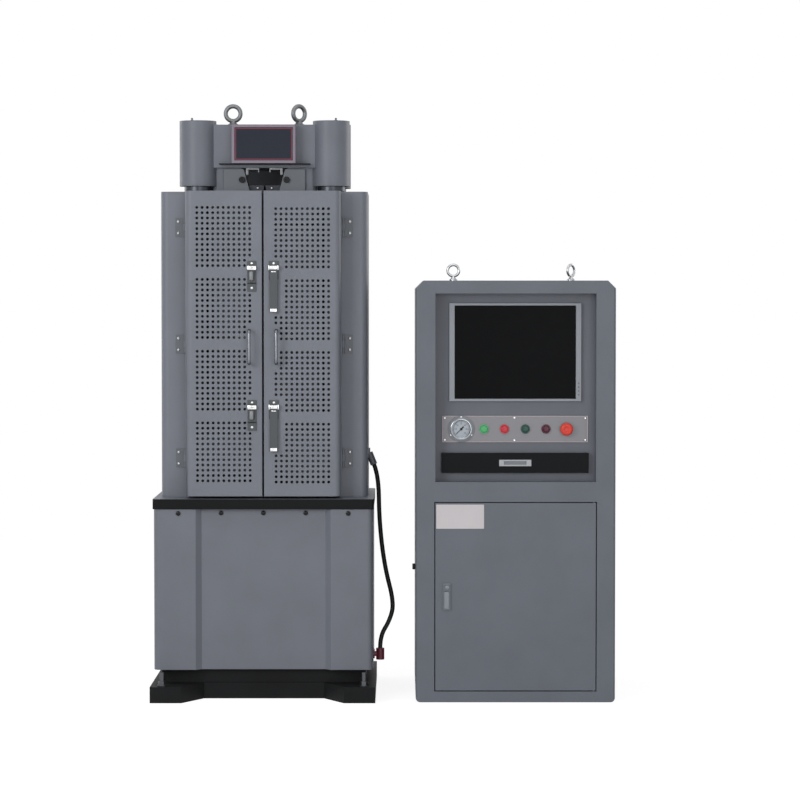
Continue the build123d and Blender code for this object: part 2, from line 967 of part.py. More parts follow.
def control_plate():
    half = plate_width / 2
    plate = block(-half, half, plate_face, panel_face, plate_bottom, plate_bottom + plate_height)
    for x in button_x:
        plate += outward(x, plate_level, plate_face - button_ring_rise, plate_face, button_ring_dia)
    for x in button_x + (estop_x,):
        plate -= outward(x, plate_level, plate_face - button_ring_rise, panel_face, button_dia + 2 * loose)
    return plate - outward(gauge_x, plate_level, plate_face, panel_face, gauge_body_dia + 2 * fit)


def push_button(x):
    """A cap in its ring, kept in by a wider head behind the plate."""
    front = plate_face - button_rise
    head = panel_face + loose
    cap = outward(x, plate_level, front, head, button_dia)
    return cap + outward(x, plate_level, head, head + button_head_thick, button_head_dia)


def estop_button():
    """A mushroom head on a stem, kept in by a wider head behind the plate."""
    face = plate_face - estop_lift
    head = panel_face + loose
    stem = outward(estop_x, plate_level, face, head, button_dia)
    stem += outward(estop_x, plate_level, face - estop_thick, face, estop_dia)
    return stem + outward(estop_x, plate_level, head, head + button_head_thick, button_head_dia)


def gauge_front():
    return plate_face - gauge_flange_thick


def gauge_case():
    face = gauge_front()
    case = outward(gauge_x, plate_level, face, plate_face, gauge_flange_dia)
    ring = outward(gauge_x, plate_level, face - gauge_ring_rise, face, gauge_ring_dia)
    ring -= outward(gauge_x, plate_level, face - gauge_ring_rise, face, gauge_dial_dia)
    return case + ring + outward(gauge_x, plate_level, plate_face, plate_face + gauge_body_depth, gauge_body_dia)


def gauge_needle():
    """A tapered pointer on its hub, just clear of the dial."""
    y = gauge_front() - loose
    tip = needle_length
    points = [(-2, 0), (-0.6, tip), (0.6, tip), (2, 0)]
    pointer = Rot(0, needle_rest, 0) * through(points, y - needle_thick, y - needle_thick / 2)
    return Pos(gauge_x, 0, plate_level) * pointer + outward(gauge_x, plate_level, y - needle_thick, y, needle_hub_dia)


def keyboard_drawer():
    half = drawer_width / 2
    front = panel_face - drawer_front_thick
    drawer = block(-half, half, front, panel_face - loose, drawer_bottom, drawer_bottom + drawer_height)
    x = tray_width / 2
    low = tray_bottom()
    rear = panel_face + tray_length
    drawer += block(-x, x, panel_face - loose, rear, low, low + tray_height)
    drawer -= block(-x + sheet, x - sheet, panel_face, rear - sheet, low + sheet, low + tray_height)
    z = drawer_bottom + drawer_height / 2
    slot_x = cup_slot_width / 2
    slot_z = cup_slot_height / 2
    return drawer - block(-slot_x, slot_x, front, front + cup_pocket, z - slot_z, z + slot_z)


def drawer_pull():
    """A flat cup pull with a finger slot, on the drawer's front."""
    front = panel_face - drawer_front_thick
    z = drawer_bottom + drawer_height / 2
    x = cup_width / 2
    plate = block(-x, x, front - cup_rise, front, z - cup_height / 2, z + cup_height / 2)
    slot_x = cup_slot_width / 2
    slot_z = cup_slot_height / 2
    return plate - block(-slot_x, slot_x, front - cup_rise, front, z - slot_z, z + slot_z)


def tank_plan(inset):
    return RectangleRounded(tank_width - 2 * inset, tank_depth - 2 * inset, tank_round - inset)


def oil_tank():
    tank = raised(tank_plan(0), sheet, sheet + tank_height)
    return tank - raised(tank_plan(tank_wall), sheet + tank_wall, sheet + tank_height)


def pump_set():
    """The tank's lid, with the motor and its pump on it and the valve block beside them."""
    lid_low = sheet + tank_height
    floor = lid_low + tank_lid
    level = floor + pump_foot + pump_motor_dia / 2
    x0 = -tank_width / 2 + tank_round
    x1 = x0 + pump_motor_length
    motor = crossways(0, level, x0, x1, pump_motor_dia)
    quarter = pump_motor_length / 4
    motor += block(x0 + quarter, x1 - quarter, -pump_motor_dia / 3, pump_motor_dia / 3, floor, level)
    motor += crossways(0, level, x1, x1 + pump_length, pump_dia)
    valve_x = tank_width / 2 - tank_round
    half = valve_depth / 2
    valve = block(valve_x - valve_width, valve_x, -half, half, floor, floor + valve_height)
    return raised(tank_plan(0), lid_low, floor) + motor + Pos(0, valve_depth, 0) * valve


def cabinet_eyebolts():
    eyes = []
    for side, turn in zip((-1, 1), cab_eye_turns):
        eyes.append(eyebolt(cab_eye, side * cab_eye_x, 0, cab_height, turn))
    return group(eyes)


def side_knob():
    side = -cab_width / 2
    knob = crossways(knob_y, knob_level, side - knob_rise, side - loose, knob_dia)
    return knob + crossways(knob_y, knob_level, side - loose, side + 3 * sheet, knob_spindle_dia)


load_frame = {
    "base_casting": base_casting(),
    "anchor_studs": anchor_studs(),
    "lower_front_cover": lower_front_cover(),
    "lower_casing": lower_casing(),
    "table_plate": table_plate(),
    "main_cylinder": main_cylinder(),
    "guard_left_panel": side_panel(-1),
    "guard_right_panel": side_panel(1),
    "guard_rear_panel": rear_panel(),
    "hinge_frame_leaves": hinge_frame_leaves(),
    "drive_motor": drive_motor(),
    "drive_chain": drive_chain(),
    "motor_wheel": motor_wheel(),
    "left_lead_screw": lead_screw(-1),
    "right_lead_screw": lead_screw(1),
    "hose_gland": hose_gland(),
    "hose_union": hose_union(),
    "drain_hose": drain_hose(),
    "left_door": door_pan(-1),
    "right_door": door_pan(1),
    "left_door_handle": pull_handle(-1),
    "right_door_handle": pull_handle(1),
    "latch_catches": group(latch_catch(level) for level in latch_levels),
    "latch_bases": group(latch_base(level) for level in latch_levels),
    "upper_latch_lever": latch_lever(latch_levels[0]),
    "lower_latch_lever": latch_lever(latch_levels[1]),
    "piston": piston(),
    "worktable": worktable(),
    "lower_platen": lower_platen(),
    "columns": columns(),
    "upper_crosshead": upper_crosshead(),
    "head_eyebolts": head_eyebolts(),
    "name_box": name_box(),
    "grip_plates": grip_plates(),
    "upper_left_jaw": upper_jaw(-1),
    "upper_right_jaw": upper_jaw(1),
    "middle_crosshead": middle_crosshead(),
    "upper_platen": upper_platen(),
    "lower_left_jaw": lower_jaw(-1),
    "lower_right_jaw": lower_jaw(1),
}

cabinet = {
    "cabinet_shell": cabinet_shell(),
    "instrument_panel": instrument_panel(),
    "monitor_housing": monitor_housing(),
    "monitor_screen": monitor_screen(),
    "control_plate": control_plate(),
    "gauge_case": gauge_case(),
    "gauge_needle": gauge_needle(),
    "start_button": push_button(button_x[0]),
    "stop_button": push_button(button_x[1]),
    "raise_button": push_button(button_x[2]),
    "lower_button": push_button(button_x[3]),
    "estop_button": estop_button(),
    "keyboard_drawer": keyboard_drawer(),
    "drawer_pull": drawer_pull(),
    "cabinet_door": cabinet_door(),
    "door_lock": door_lock(),
    "cabinet_eyebolts": cabinet_eyebolts(),
    "oil_tank": oil_tank(),
    "pump_set": pump_set(),
    "side_knob": side_knob(),
}

os.makedirs("parts", exist_ok=True)
for place, pieces in ((main_place, load_frame), (cab_place, cabinet)):
    for name, piece in pieces.items():
        export_step(place * piece, f"parts/{name}.step")
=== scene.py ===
# %% [markdown]
# # A hydraulic testing machine and its control cabinet
# The imported CAD model is the frame of this scene: every solid is already at its place, in metres,
# on the body it moves with. What is left to do is the look: finishes, perforated doors, screws,
# threads, the gauge's dial and the hose. Loading comes first.

# %% Load the frame
import json
import math

import bpy
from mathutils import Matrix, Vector

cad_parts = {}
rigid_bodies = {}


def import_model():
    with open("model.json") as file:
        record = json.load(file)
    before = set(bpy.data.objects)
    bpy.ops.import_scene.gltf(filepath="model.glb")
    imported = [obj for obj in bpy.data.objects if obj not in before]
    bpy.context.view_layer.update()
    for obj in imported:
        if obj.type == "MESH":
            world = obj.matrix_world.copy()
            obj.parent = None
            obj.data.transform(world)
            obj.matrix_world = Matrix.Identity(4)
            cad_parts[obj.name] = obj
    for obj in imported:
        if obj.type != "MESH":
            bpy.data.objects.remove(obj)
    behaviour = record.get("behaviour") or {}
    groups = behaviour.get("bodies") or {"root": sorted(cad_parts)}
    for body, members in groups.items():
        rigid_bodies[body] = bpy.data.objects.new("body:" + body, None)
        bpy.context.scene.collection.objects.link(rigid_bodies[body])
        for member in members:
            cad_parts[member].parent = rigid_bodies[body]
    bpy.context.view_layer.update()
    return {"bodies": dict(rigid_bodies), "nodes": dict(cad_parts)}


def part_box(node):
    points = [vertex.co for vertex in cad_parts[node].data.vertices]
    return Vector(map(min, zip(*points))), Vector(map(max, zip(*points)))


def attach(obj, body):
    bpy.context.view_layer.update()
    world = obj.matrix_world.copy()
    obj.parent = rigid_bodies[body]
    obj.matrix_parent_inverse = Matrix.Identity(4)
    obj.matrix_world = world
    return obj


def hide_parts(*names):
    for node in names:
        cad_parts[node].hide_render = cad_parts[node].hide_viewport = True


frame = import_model()
nodes = frame["nodes"]
# The middles of the load frame and of the cabinet, in metres
frame_x = -0.3725
cabinet_x = 0.4125
cabinet_y = 0.010

# %% [markdown]
# ## Camera
# The picture is square and taken from the front, a little above the middle of the machine, from far
# off with a long lens: things at the back look hardly smaller than things at the front. From so far
# a small tilt leaves upright edges parallel to within a pixel, so the camera is tilted down until the
# horizon lies where the picture has it, and the lens needs no shift.

# %% Camera
picture_px = 800
focal_px = 2816
horizon_px = 291.2
sensor_mm = 36
camera_place = (0.054, -9.0, 1.277)
bpy.ops.object.camera_add(location=camera_place)
camera = bpy.context.object
camera.data.sensor_width = sensor_mm
camera.data.lens = sensor_mm * focal_px / picture_px
tilt = math.atan((picture_px / 2 - horizon_px) / focal_px)
camera.rotation_euler = (math.pi / 2 - tilt, 0, 0)
bpy.context.scene.camera = camera
bpy.context.scene.view_settings.view_transform = "Standard"
print("lens", round(camera.data.lens, 1), "mm, tilt", round(math.degrees(tilt), 2), "degrees")

# %% [markdown]
# ## Hose
# A black rubber hose leaves the guard's right side, hangs down in a loose bow and ends in a red
# union on the lower casing. A NURBS spline with a few control points gives one smooth line, and a
# round bevel makes it a tube: the bevel is one metre, and each point's radius brings it down to
# the hose's own. Both ends of the line run straight into their fittings.

# %% Hose
hose_dia = 0.014
hose_route = (
    (-0.0295, 0.020, 0.722),
    (-0.0145, 0.014, 0.685),
    (-0.0125, -0.025, 0.545),
    (0.0045, -0.075, 0.405),
    (0.0355, -0.110, 0.290),
    (0.0215, -0.138, 0.238),
    (-0.0085, -0.148, 0.190),
    (-0.0085, -0.148, 0.152),
)
hose_line = bpy.data.curves.new("rubber_hose", "CURVE")
hose_line.dimensions = "3D"
hose_line.bevel_depth = 1
hose_line.bevel_resolution = 6
hose_line.use_fill_caps = True
spline = hose_line.splines.new("NURBS")
spline.points.add(len(hose_route) - 1)
for point, place in zip(spline.points, hose_route):
    point.co = (*place, 1)
    point.radius = hose_dia / 2
spline.order_u = 3
spline.use_endpoint_u = True
spline.resolution_u = 12
hose = bpy.data.objects.new("rubber_hose", hose_line)
bpy.context.scene.collection.objects.link(hose)
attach(hose, "fixed_frame")
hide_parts("drain_hose")
print("hose points", len(spline.points))

# %% [markdown]
# ## Floor and light
# The machine stands on a pale floor in plain studio light. The floor and the world look white to
# the camera and to mirrors, through Light Path, while the light on the machine stays at a plain
# level. A large soft lamp on the left gives the sheet metal its shading, one at the front fills it,
# one hangs overhead, and two weaker ones behind keep the sides and back from going dark.

# %% Nodes
def add(tree, kind, inputs=None, **settings):
    """Adds one node, sets its options, and fills its inputs with values or other nodes' outputs."""
    made = tree.nodes.new(kind)
    for option, value in settings.items():
        setattr(made, option, value)
    for socket, value in (inputs or {}).items():
        if isinstance(value, bpy.types.NodeSocket):
            tree.links.new(value, made.inputs[socket])
        else:
            made.inputs[socket].default_value = value
    return made


def seen_directly(tree):
    """One for rays from the camera, off a mirror or through glass, and nought for lighting rays."""
    path = add(tree, "ShaderNodeLightPath")
    shiny = add(
        tree,
        "ShaderNodeMath",
        {0: path.outputs["Is Camera Ray"], 1: path.outputs["Is Glossy Ray"]},
        operation="MAXIMUM",
    )
    return add(
        tree,
        "ShaderNodeMath",
        {0: shiny.outputs[0], 1: path.outputs["Is Transmission Ray"]},
        operation="MAXIMUM",
    ).outputs[0]


# %% World and floor
world_light = 0.27
floor_width = 11
floor_glow = 1.42
glow_share = 0.62
world = bpy.data.worlds.new("studio")
world.use_nodes = True
bpy.context.scene.world = world
sky = world.node_tree
sky.nodes.clear()
soft = add(sky, "ShaderNodeBackground", {"Color": (1, 1, 1, 1), "Strength": world_light})
white = add(sky, "ShaderNodeBackground", {"Color": (1, 1, 1, 1), "Strength": 1})
both = add(sky, "ShaderNodeMixShader", {0: seen_directly(sky), 1: soft.outputs[0], 2: white.outputs[0]})
add(sky, "ShaderNodeOutputWorld", {"Surface": both.outputs[0]})

bpy.ops.object.select_all(action="DESELECT")
bpy.ops.mesh.primitive_plane_add(size=floor_width)
floor = bpy.context.object
floor.name = "studio_floor"
pale = bpy.data.materials.new("pale_floor")
pale.use_nodes = True
tree = pale.node_tree
tree.nodes.clear()
matt = add(tree, "ShaderNodeBsdfDiffuse", {"Color": (0.82, 0.82, 0.82, 1)})
glow = add(tree, "ShaderNodeEmission", {"Color": (1, 1, 1, 1), "Strength": floor_glow})
blend = add(tree, "ShaderNodeMath", {0: seen_directly(tree), 1: glow_share}, operation="MULTIPLY")
mixed = add(tree, "ShaderNodeMixShader", {0: blend.outputs[0], 1: matt.outputs[0], 2: glow.outputs[0]})
add(tree, "ShaderNodeOutputMaterial", {"Surface": mixed.outputs[0]})
floor.data.materials.append(pale)
print("floor", floor_width, "m wide")

# %% Lamps
# Each lamp: its place and what it points at, in metres, its width in metres and its power in watts
soft_boxes = (
    ((-3.0, -4.4, 2.3), (-0.3, 0, 0.9), 2.0, 90),
    ((1.3, -5.4, 1.3), (0.2, 0, 0.75), 2.6, 50),
    ((0, -1.2, 4.4), (0, 0, 0.6), 2.6, 26),
    ((4.4, 3.2, 2.2), (0, 0, 0.8), 2.6, 55),
    ((-4.4, 3.2, 2.2), (0, 0, 0.8), 2.6, 45),
)
for place, aim, width, power in soft_boxes:
    bpy.ops.object.light_add(type="AREA", location=place)
    lamp = bpy.context.object
    lamp.rotation_euler = (Vector(aim) - Vector(place)).to_track_quat("-Z", "Y").to_euler()
    lamp.data.size = width
    lamp.data.energy = power
print("lamps", len(soft_boxes))

# %% [markdown]
# ## Finishes
# Most of the machine is steel sheet and castings with a grey powder coat. Powder coat is sprayed
# dry and baked, so it has a faint orange-peel skin and a satin sheen, and no brush marks. The peel
# is about 1 mm across on the real thing; it is drawn at 4 mm here because one pixel covers 3 mm.

# %% Powder coat
peel_mm = 4
peel_height = 0.0006
sheen_spread = 0.07
cloud_mm = 120


def linear(colour, gain=1):
    """A hex colour as linear light, made lighter or darker by a gain."""
    parts = [int(colour[i : i + 2], 16) / 255 for i in (1, 3, 5)]
    light = [p / 12.92 if p <= 0.04045 else ((p + 0.055) / 1.055) ** 2.4 for p in parts]
    return (*[min(p * gain, 1) for p in light], 1)


def new_finish(name):
    """An empty finish: its node tree, its shader and the place of each point on the piece."""
    finish = bpy.data.materials.new(name)
    finish.use_nodes = True
    tree = finish.node_tree
    return finish, tree, tree.nodes["Principled BSDF"], add(tree, "ShaderNodeTexCoord").outputs["Object"]


def powder_coat(name, colour, sheen=0.46, drift=0.05, shine=0.4):
    """Baked paint on steel: a slow drift in tone, orange peel in the bump, satin sheen."""
    finish, tree, shader, place = new_finish(name)
    cloud = add(tree, "ShaderNodeTexNoise", {"Vector": place, "Scale": 1000 / cloud_mm, "Detail": 4})
    tone = add(tree, "ShaderNodeValToRGB", {"Fac": cloud.outputs["Fac"]})
    tone.color_ramp.elements[0].position = 0.3
    tone.color_ramp.elements[0].color = linear(colour, 1 - drift)
    tone.color_ramp.elements[1].position = 0.7
    tone.color_ramp.elements[1].color = linear(colour, 1 + drift)
    peel = add(tree, "ShaderNodeTexNoise", {"Vector": place, "Scale": 1000 / peel_mm, "Detail": 2})
    skin = add(
        tree,
        "ShaderNodeBump",
        {"Height": peel.outputs["Fac"], "Strength": 0.14, "Distance": peel_height},
    )
    rough = add(
        tree,
        "ShaderNodeMapRange",
        {"Value": peel.outputs["Fac"], "To Min": sheen - sheen_spread, "To Max": sheen + sheen_spread},
    )
    tree.links.new(tone.outputs["Color"], shader.inputs["Base Color"])
    tree.links.new(rough.outputs["Result"], shader.inputs["Roughness"])
    tree.links.new(skin.outputs["Normal"], shader.inputs["Normal"])
    shader.inputs["Specular IOR Level"].default_value = shine
    return finish


# %% Painted pieces
# Baked satin grey on sheet and castings: soft broad highlights, a shade apart from unit to unit
machine_grey = powder_coat("grey_powder_coat", "#6f737c")
guard_grey = powder_coat("guard_powder_coat", "#757982")
cabinet_grey = powder_coat("cabinet_powder_coat", "#646972")
# The recess panel's coat is a shade darker than the cabinet's: painted shade for the shadow in the recess
shaded_recess_grey = powder_coat("recess_painted_shade_coat", "#62666f")
# Black enamel with hardly a reflection: edges, table and drawer read as plain dark bands
edge_black = powder_coat("black_enamel", "#1c1d1e", 0.45, 0.08, 0.1)
table_paint = powder_coat("table_enamel", "#131415", 0.45, 0.08, 0.1)
drawer_black = powder_coat("drawer_enamel", "#0e1114", 0.4, 0.08, 0.08)
# Smooth enamel on small fittings: a tighter, brighter highlight than the sheet's
gauge_paint = powder_coat("gauge_enamel", "#7c8087", 0.35)
guide_paint = powder_coat("guide_plate_enamel", "#6e7379", 0.42)
hinge_paint = powder_coat("dark_grey_enamel", "#666a70", 0.38)
motor_paint = powder_coat("motor_enamel", "#4e565e", 0.4)
union_red = powder_coat("dark_red_lacquer", "#6a2436", 0.35)
# The name box: a mauve frame, a dark even plate and a thin red border that stands out from both
frame_mauve = powder_coat("name_box_enamel", "#857b88", 0.4)
plate_dark = powder_coat("name_plate_enamel", "#2f333d", 0.3, 0.05, 0.1)
border_red = powder_coat("border_red_enamel", "#742a3d", 0.35)
# Printed vinyl and a printed line: pale, smooth and nearly even in tone
label_pale = powder_coat("blank_label_vinyl", "#cfc9cc", 0.3, 0.02)
edge_line = powder_coat("edge_line_enamel", "#b5a5a6", 0.35, 0.02)
print("powder coats made")

# %% [markdown]
# ## Cast base, bare metals, plastics and rubber
# The base is a black casting, rougher than sheet. Bare steel shows the tool's marks: fine rings on
# turned parts and straight lines on brushed ones, drawn as noise that is stretched along the mark.
# Chrome is nearly a mirror. Buttons are moulded and glossy; the hose is matt with a dusty bloom.
# Grit, marks and grain are all well under a millimetre on the real parts. They are drawn 1.5 to
# 6 mm across, so that they still show where one pixel covers 3 mm.

# %% Makers of metal and plastic
def cast_paint(name, colour, grit_mm):
    """Paint over a sand casting, whose grit still shows through it."""
    finish = powder_coat(name, colour, 0.55, 0.15, 0.1)
    tree = finish.node_tree
    place = tree.nodes["Texture Coordinate"].outputs["Object"]
    grit = add(tree, "ShaderNodeTexNoise", {"Vector": place, "Scale": 1000 / grit_mm, "Detail": 6})
    skin = tree.nodes["Bump"]
    tree.links.new(grit.outputs["Fac"], skin.inputs["Height"])
    skin.inputs["Strength"].default_value = 0.4
    return finish


def bare_metal(name, colour, rough, stretch, mark_mm=1.5):
    """Bare metal with tool marks: noise squeezed across the marks and drawn out along them."""
    finish, tree, shader, place = new_finish(name)
    lines = add(tree, "ShaderNodeMapping", {"Vector": place, "Scale": stretch})
    marks = add(
        tree,
        "ShaderNodeTexNoise",
        {"Vector": lines.outputs[0], "Scale": 1000 / mark_mm, "Detail": 3},
    )
    tone = add(tree, "ShaderNodeValToRGB", {"Fac": marks.outputs["Fac"]})
    tone.color_ramp.elements[0].color = linear(colour, 0.86)
    tone.color_ramp.elements[1].color = linear(colour, 1.1)
    ramp = add(
        tree,
        "ShaderNodeMapRange",
        {"Value": marks.outputs["Fac"], "To Min": rough * 0.75, "To Max": rough * 1.25},
    )
    skin = add(
        tree,
        "ShaderNodeBump",
        {"Height": marks.outputs["Fac"], "Strength": 0.08, "Distance": 0.0003},
    )
    tree.links.new(tone.outputs["Color"], shader.inputs["Base Color"])
    tree.links.new(ramp.outputs["Result"], shader.inputs["Roughness"])
    tree.links.new(skin.outputs["Normal"], shader.inputs["Normal"])
    shader.inputs["Metallic"].default_value = 1
    return finish


def moulded(name, colour, rough=0.25, grain_mm=3):
    """Moulded plastic: one colour with a faint drift and a fine moulded grain."""
    finish, tree, shader, place = new_finish(name)
    grain = add(tree, "ShaderNodeTexNoise", {"Vector": place, "Scale": 1000 / grain_mm, "Detail": 2})
    tone = add(tree, "ShaderNodeValToRGB", {"Fac": grain.outputs["Fac"]})
    tone.color_ramp.elements[0].color = linear(colour, 0.93)
    tone.color_ramp.elements[1].color = linear(colour, 1.07)
    skin = add(
        tree,
        "ShaderNodeBump",
        {"Height": grain.outputs["Fac"], "Strength": 0.06, "Distance": 0.0003},
    )
    ramp = add(
        tree,
        "ShaderNodeMapRange",
        {"Value": grain.outputs["Fac"], "To Min": rough * 0.8, "To Max": rough * 1.2},
    )
    tree.links.new(tone.outputs["Color"], shader.inputs["Base Color"])
    tree.links.new(ramp.outputs["Result"], shader.inputs["Roughness"])
    tree.links.new(skin.outputs["Normal"], shader.inputs["Normal"])
    shader.inputs["Specular IOR Level"].default_value = 0.25
    return finish


# %% Metals
# Sand-cast iron under black paint: dark, with a rough broken sheen
base_black = cast_paint("black_cast_iron", "#1b1c1d", 6)
# Turned and ground steel: fine rings that stretch the highlight round the part
turned_steel = bare_metal("turned_steel", "#a9abad", 0.32, (0.05, 0.05, 1))
column_steel = bare_metal("ground_steel", "#45484d", 0.34, (0.05, 0.05, 1))
# Hardened jaws: dark steel with straight grinding lines
jaw_steel = bare_metal("hardened_steel", "#3a3c40", 0.42, (1, 0.1, 1))
# Chrome and plated zinc: small sharp glints on dark or bright metal
chrome = bare_metal("satin_chrome", "#787b80", 0.22, (0.05, 0.05, 1), 4)
ring_chrome = bare_metal("turned_chrome", "#8d9196", 0.2, (1, 1, 1), 4)
zinc = bare_metal("zinc_plated_steel", "#b9bbbd", 0.3, (1, 1, 1), 3)
bright_zinc = bare_metal("bright_zinc", "#dadbdc", 0.28, (1, 1, 1), 3)
# Die-cast zinc, oiled studs, forged eyes and rolled straps: dull metal with a wide soft sheen
lock_zinc = bare_metal("satin_zinc_casting", "#70747a", 0.4, (1, 1, 0.1), 3)
stud_steel = bare_metal("oiled_black_steel", "#55575a", 0.4, (1, 1, 1), 4)
dull_steel = bare_metal("forged_steel", "#77797b", 0.5, (1, 1, 1), 5)
strap_steel = bare_metal("dark_strap_steel", "#4c4f51", 0.46, (1, 1, 0.1), 3)
# Brushed and anodised plate: the clear oxide film hides most of the metal's mirror
panel_metal = bare_metal("anodised_plate", "#7e7e82", 0.48, (0.04, 1, 1), 2)
panel_metal.node_tree.nodes["Principled BSDF"].inputs["Metallic"].default_value = 0.35
print("metals made")

# %% Plastics, rubber and glass
# Extruded rubber: black and matt
hose_rubber = moulded("hose_rubber", "#1a1c1c", 0.55, 5)
# Silver-lacquered plastic and a lacquered casting: pale, with a soft gloss
bezel_silver = moulded("silver_abs", "#959aa1", 0.36)
pull_silver = moulded("silver_zinc_casting", "#b4b7bb", 0.3)
# Screen glass with a matt filter: near black, with almost no reflection
screen_black = moulded("screen_glass", "#07080a", 0.3, 40)
screen_black.node_tree.nodes["Principled BSDF"].inputs["Specular IOR Level"].default_value = 0.04
# Moulded caps: clear colours with a small bright highlight on the rim
start_green = moulded("green_abs", "#4fb070", 0.22)
stop_red = moulded("red_abs", "#c8323e", 0.22)
raise_green = moulded("dark_green_abs", "#1d4a40", 0.22)
lower_maroon = moulded("maroon_abs", "#4e0c28", 0.22)
estop_red = moulded("orange_red_abs", "#de4436", 0.25)
knob_black = moulded("black_abs", "#141415", 0.3)
# Printed dial sheet: pale grey and even
dial_white = moulded("dial_enamel", "#b2b9c2", 0.35)
hose.data.materials.append(hose_rubber)
print("finishes", len(bpy.data.materials))

# %% [markdown]
# ## Tools for the new pieces
# New pieces are modelled as by hand: a primitive is added, pulled into shape in edit mode and
# finished. Operators act on everything that is selected, so each step starts with nothing selected.
# A finished piece has its place in its mesh, rides on a body and takes a finish.

# %% Tools for selecting and joining
def nothing_selected():
    """Leaves edit mode and clears the selection."""
    if bpy.context.mode != "OBJECT":
        bpy.ops.object.mode_set(mode="OBJECT")
    bpy.ops.object.select_all(action="DESELECT")


def only(piece):
    """Selects one piece and makes it the active one."""
    nothing_selected()
    piece.select_set(True)
    bpy.context.view_layer.objects.active = piece
    return piece


def settle(piece, name, body, finish, corner=35):
    """Puts a piece's place into its mesh, smooths its round faces, and hangs it on a body."""
    only(piece)
    bpy.ops.object.transform_apply(location=True, rotation=True, scale=True)
    bpy.ops.object.shade_smooth_by_angle(angle=math.radians(corner))
    piece.name = name
    piece.data.name = name
    if finish:
        piece.data.materials.clear()
        piece.data.materials.append(finish)
    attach(piece, body)
    return piece


def apply_all(piece):
    """Applies every modifier of a piece, first to last."""
    only(piece)
    for modifier in list(piece.modifiers):
        bpy.ops.object.modifier_apply(modifier=modifier.name)
    return piece


def joined(pieces):
    """Several pieces made one."""
    only(pieces[0])
    for piece in pieces[1:]:
        piece.select_set(True)
    bpy.ops.object.join()
    return bpy.context.object


def set_out(piece, places):
    """Copies a piece that stands at the origin to each place, and joins the copies."""
    copies = []
    for place in places:
        only(piece)
        bpy.ops.object.duplicate()
        bpy.context.object.location = place
        copies.append(bpy.context.object)
    bpy.data.objects.remove(piece)
    return joined(copies)


# %% Tools for shapes
def turned(outline, sides, facing=(0, 0, 0)):
    """A lathe part at the origin: a disc pulled up and resized along (radius, height) pairs."""
    nothing_selected()
    radius, height = outline[0]
    bpy.ops.mesh.primitive_circle_add(vertices=sides, radius=radius, fill_type="NGON")
    piece = bpy.context.object
    bpy.ops.object.mode_set(mode="EDIT")
    bpy.ops.transform.translate(value=(0, 0, height))
    for next_radius, next_height in outline[1:]:
        bpy.ops.mesh.extrude_region_move(TRANSFORM_OT_translate={"value": (0, 0, next_height - height)})
        bpy.ops.transform.resize(value=(next_radius / radius, next_radius / radius, 1))
        radius, height = next_radius, next_height
    bpy.ops.mesh.select_all(action="SELECT")
    bpy.ops.mesh.normals_make_consistent(inside=False)
    nothing_selected()
    piece.rotation_euler = [math.radians(angle) for angle in facing]
    return piece


def soft_block(low, high, edge, segments=2):
    """A block between two corners with every edge rounded."""
    nothing_selected()
    middle = [(a + b) / 2 for a, b in zip(low, high)]
    size = [b - a for a, b in zip(low, high)]
    bpy.ops.mesh.primitive_cube_add(size=1, location=middle, scale=size)
    piece = bpy.context.object
    bpy.ops.object.transform_apply(location=True, rotation=True, scale=True)
    bpy.ops.object.mode_set(mode="EDIT")
    bpy.ops.mesh.select_all(action="SELECT")
    bpy.ops.mesh.bevel(offset=edge, segments=segments, affect="EDGES")
    nothing_selected()
    return piece


def cut(piece, cutter):
    """Cuts one piece with another, which is used up."""
    slice_off = piece.modifiers.new("cut", "BOOLEAN")
    slice_off.operation = "DIFFERENCE"
    slice_off.solver = "EXACT"
    slice_off.object = cutter
    apply_all(piece)
    bpy.data.objects.remove(cutter)
    return piece


front = (90, 0, 0)
print("tools ready")

# %% [markdown]
# ## Dressing the CAD pieces
# A piece whose CAD shape is right keeps it. Its mesh is copied with the triangles joined up, and a
# small bevel breaks its sharp edges, because sheet folds, castings and mouldings all catch a line of
# light along their edges. The copy stands for the CAD piece and takes its finish.

# %% Dress the CAD pieces
def merged_copy(node, name):
    """A copy of a CAD piece with its loose triangles joined up into whole faces."""
    piece = bpy.data.objects.new(name, nodes[node].data.copy())
    bpy.context.scene.collection.objects.link(piece)
    only(piece)
    bpy.ops.object.mode_set(mode="EDIT")
    bpy.ops.mesh.select_all(action="SELECT")
    bpy.ops.mesh.remove_doubles(threshold=0.00001)
    bpy.ops.mesh.dissolve_limited(angle_limit=math.radians(0.5))
    nothing_selected()
    return piece


def body_of(node):
    """The name of the body that a CAD piece rides on."""
    return next(body for body, empty in frame["bodies"].items() if empty == nodes[node].parent)


def even_shading(piece):
    """Lets the largest face at each edge rule the shading, so that sheet looks flat up to its bends."""
    even = piece.modifiers.new("even", "WEIGHTED_NORMAL")
    even.keep_sharp = True
    apply_all(piece)


def softened(node, finish, edge):
    """A CAD piece with its sharp edges broken by a narrow bevel, its width given in millimetres."""
    piece = merged_copy(node, node + "_skin")
    soften = piece.modifiers.new("soften", "BEVEL")
    soften.width = edge / 1000
    soften.segments = 2
    soften.limit_method = "ANGLE"
    soften.angle_limit = math.radians(50)
    apply_all(piece)
    settle(piece, node + "_skin", body_of(node), finish, 40)
    even_shading(piece)
    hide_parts(node)
    return piece


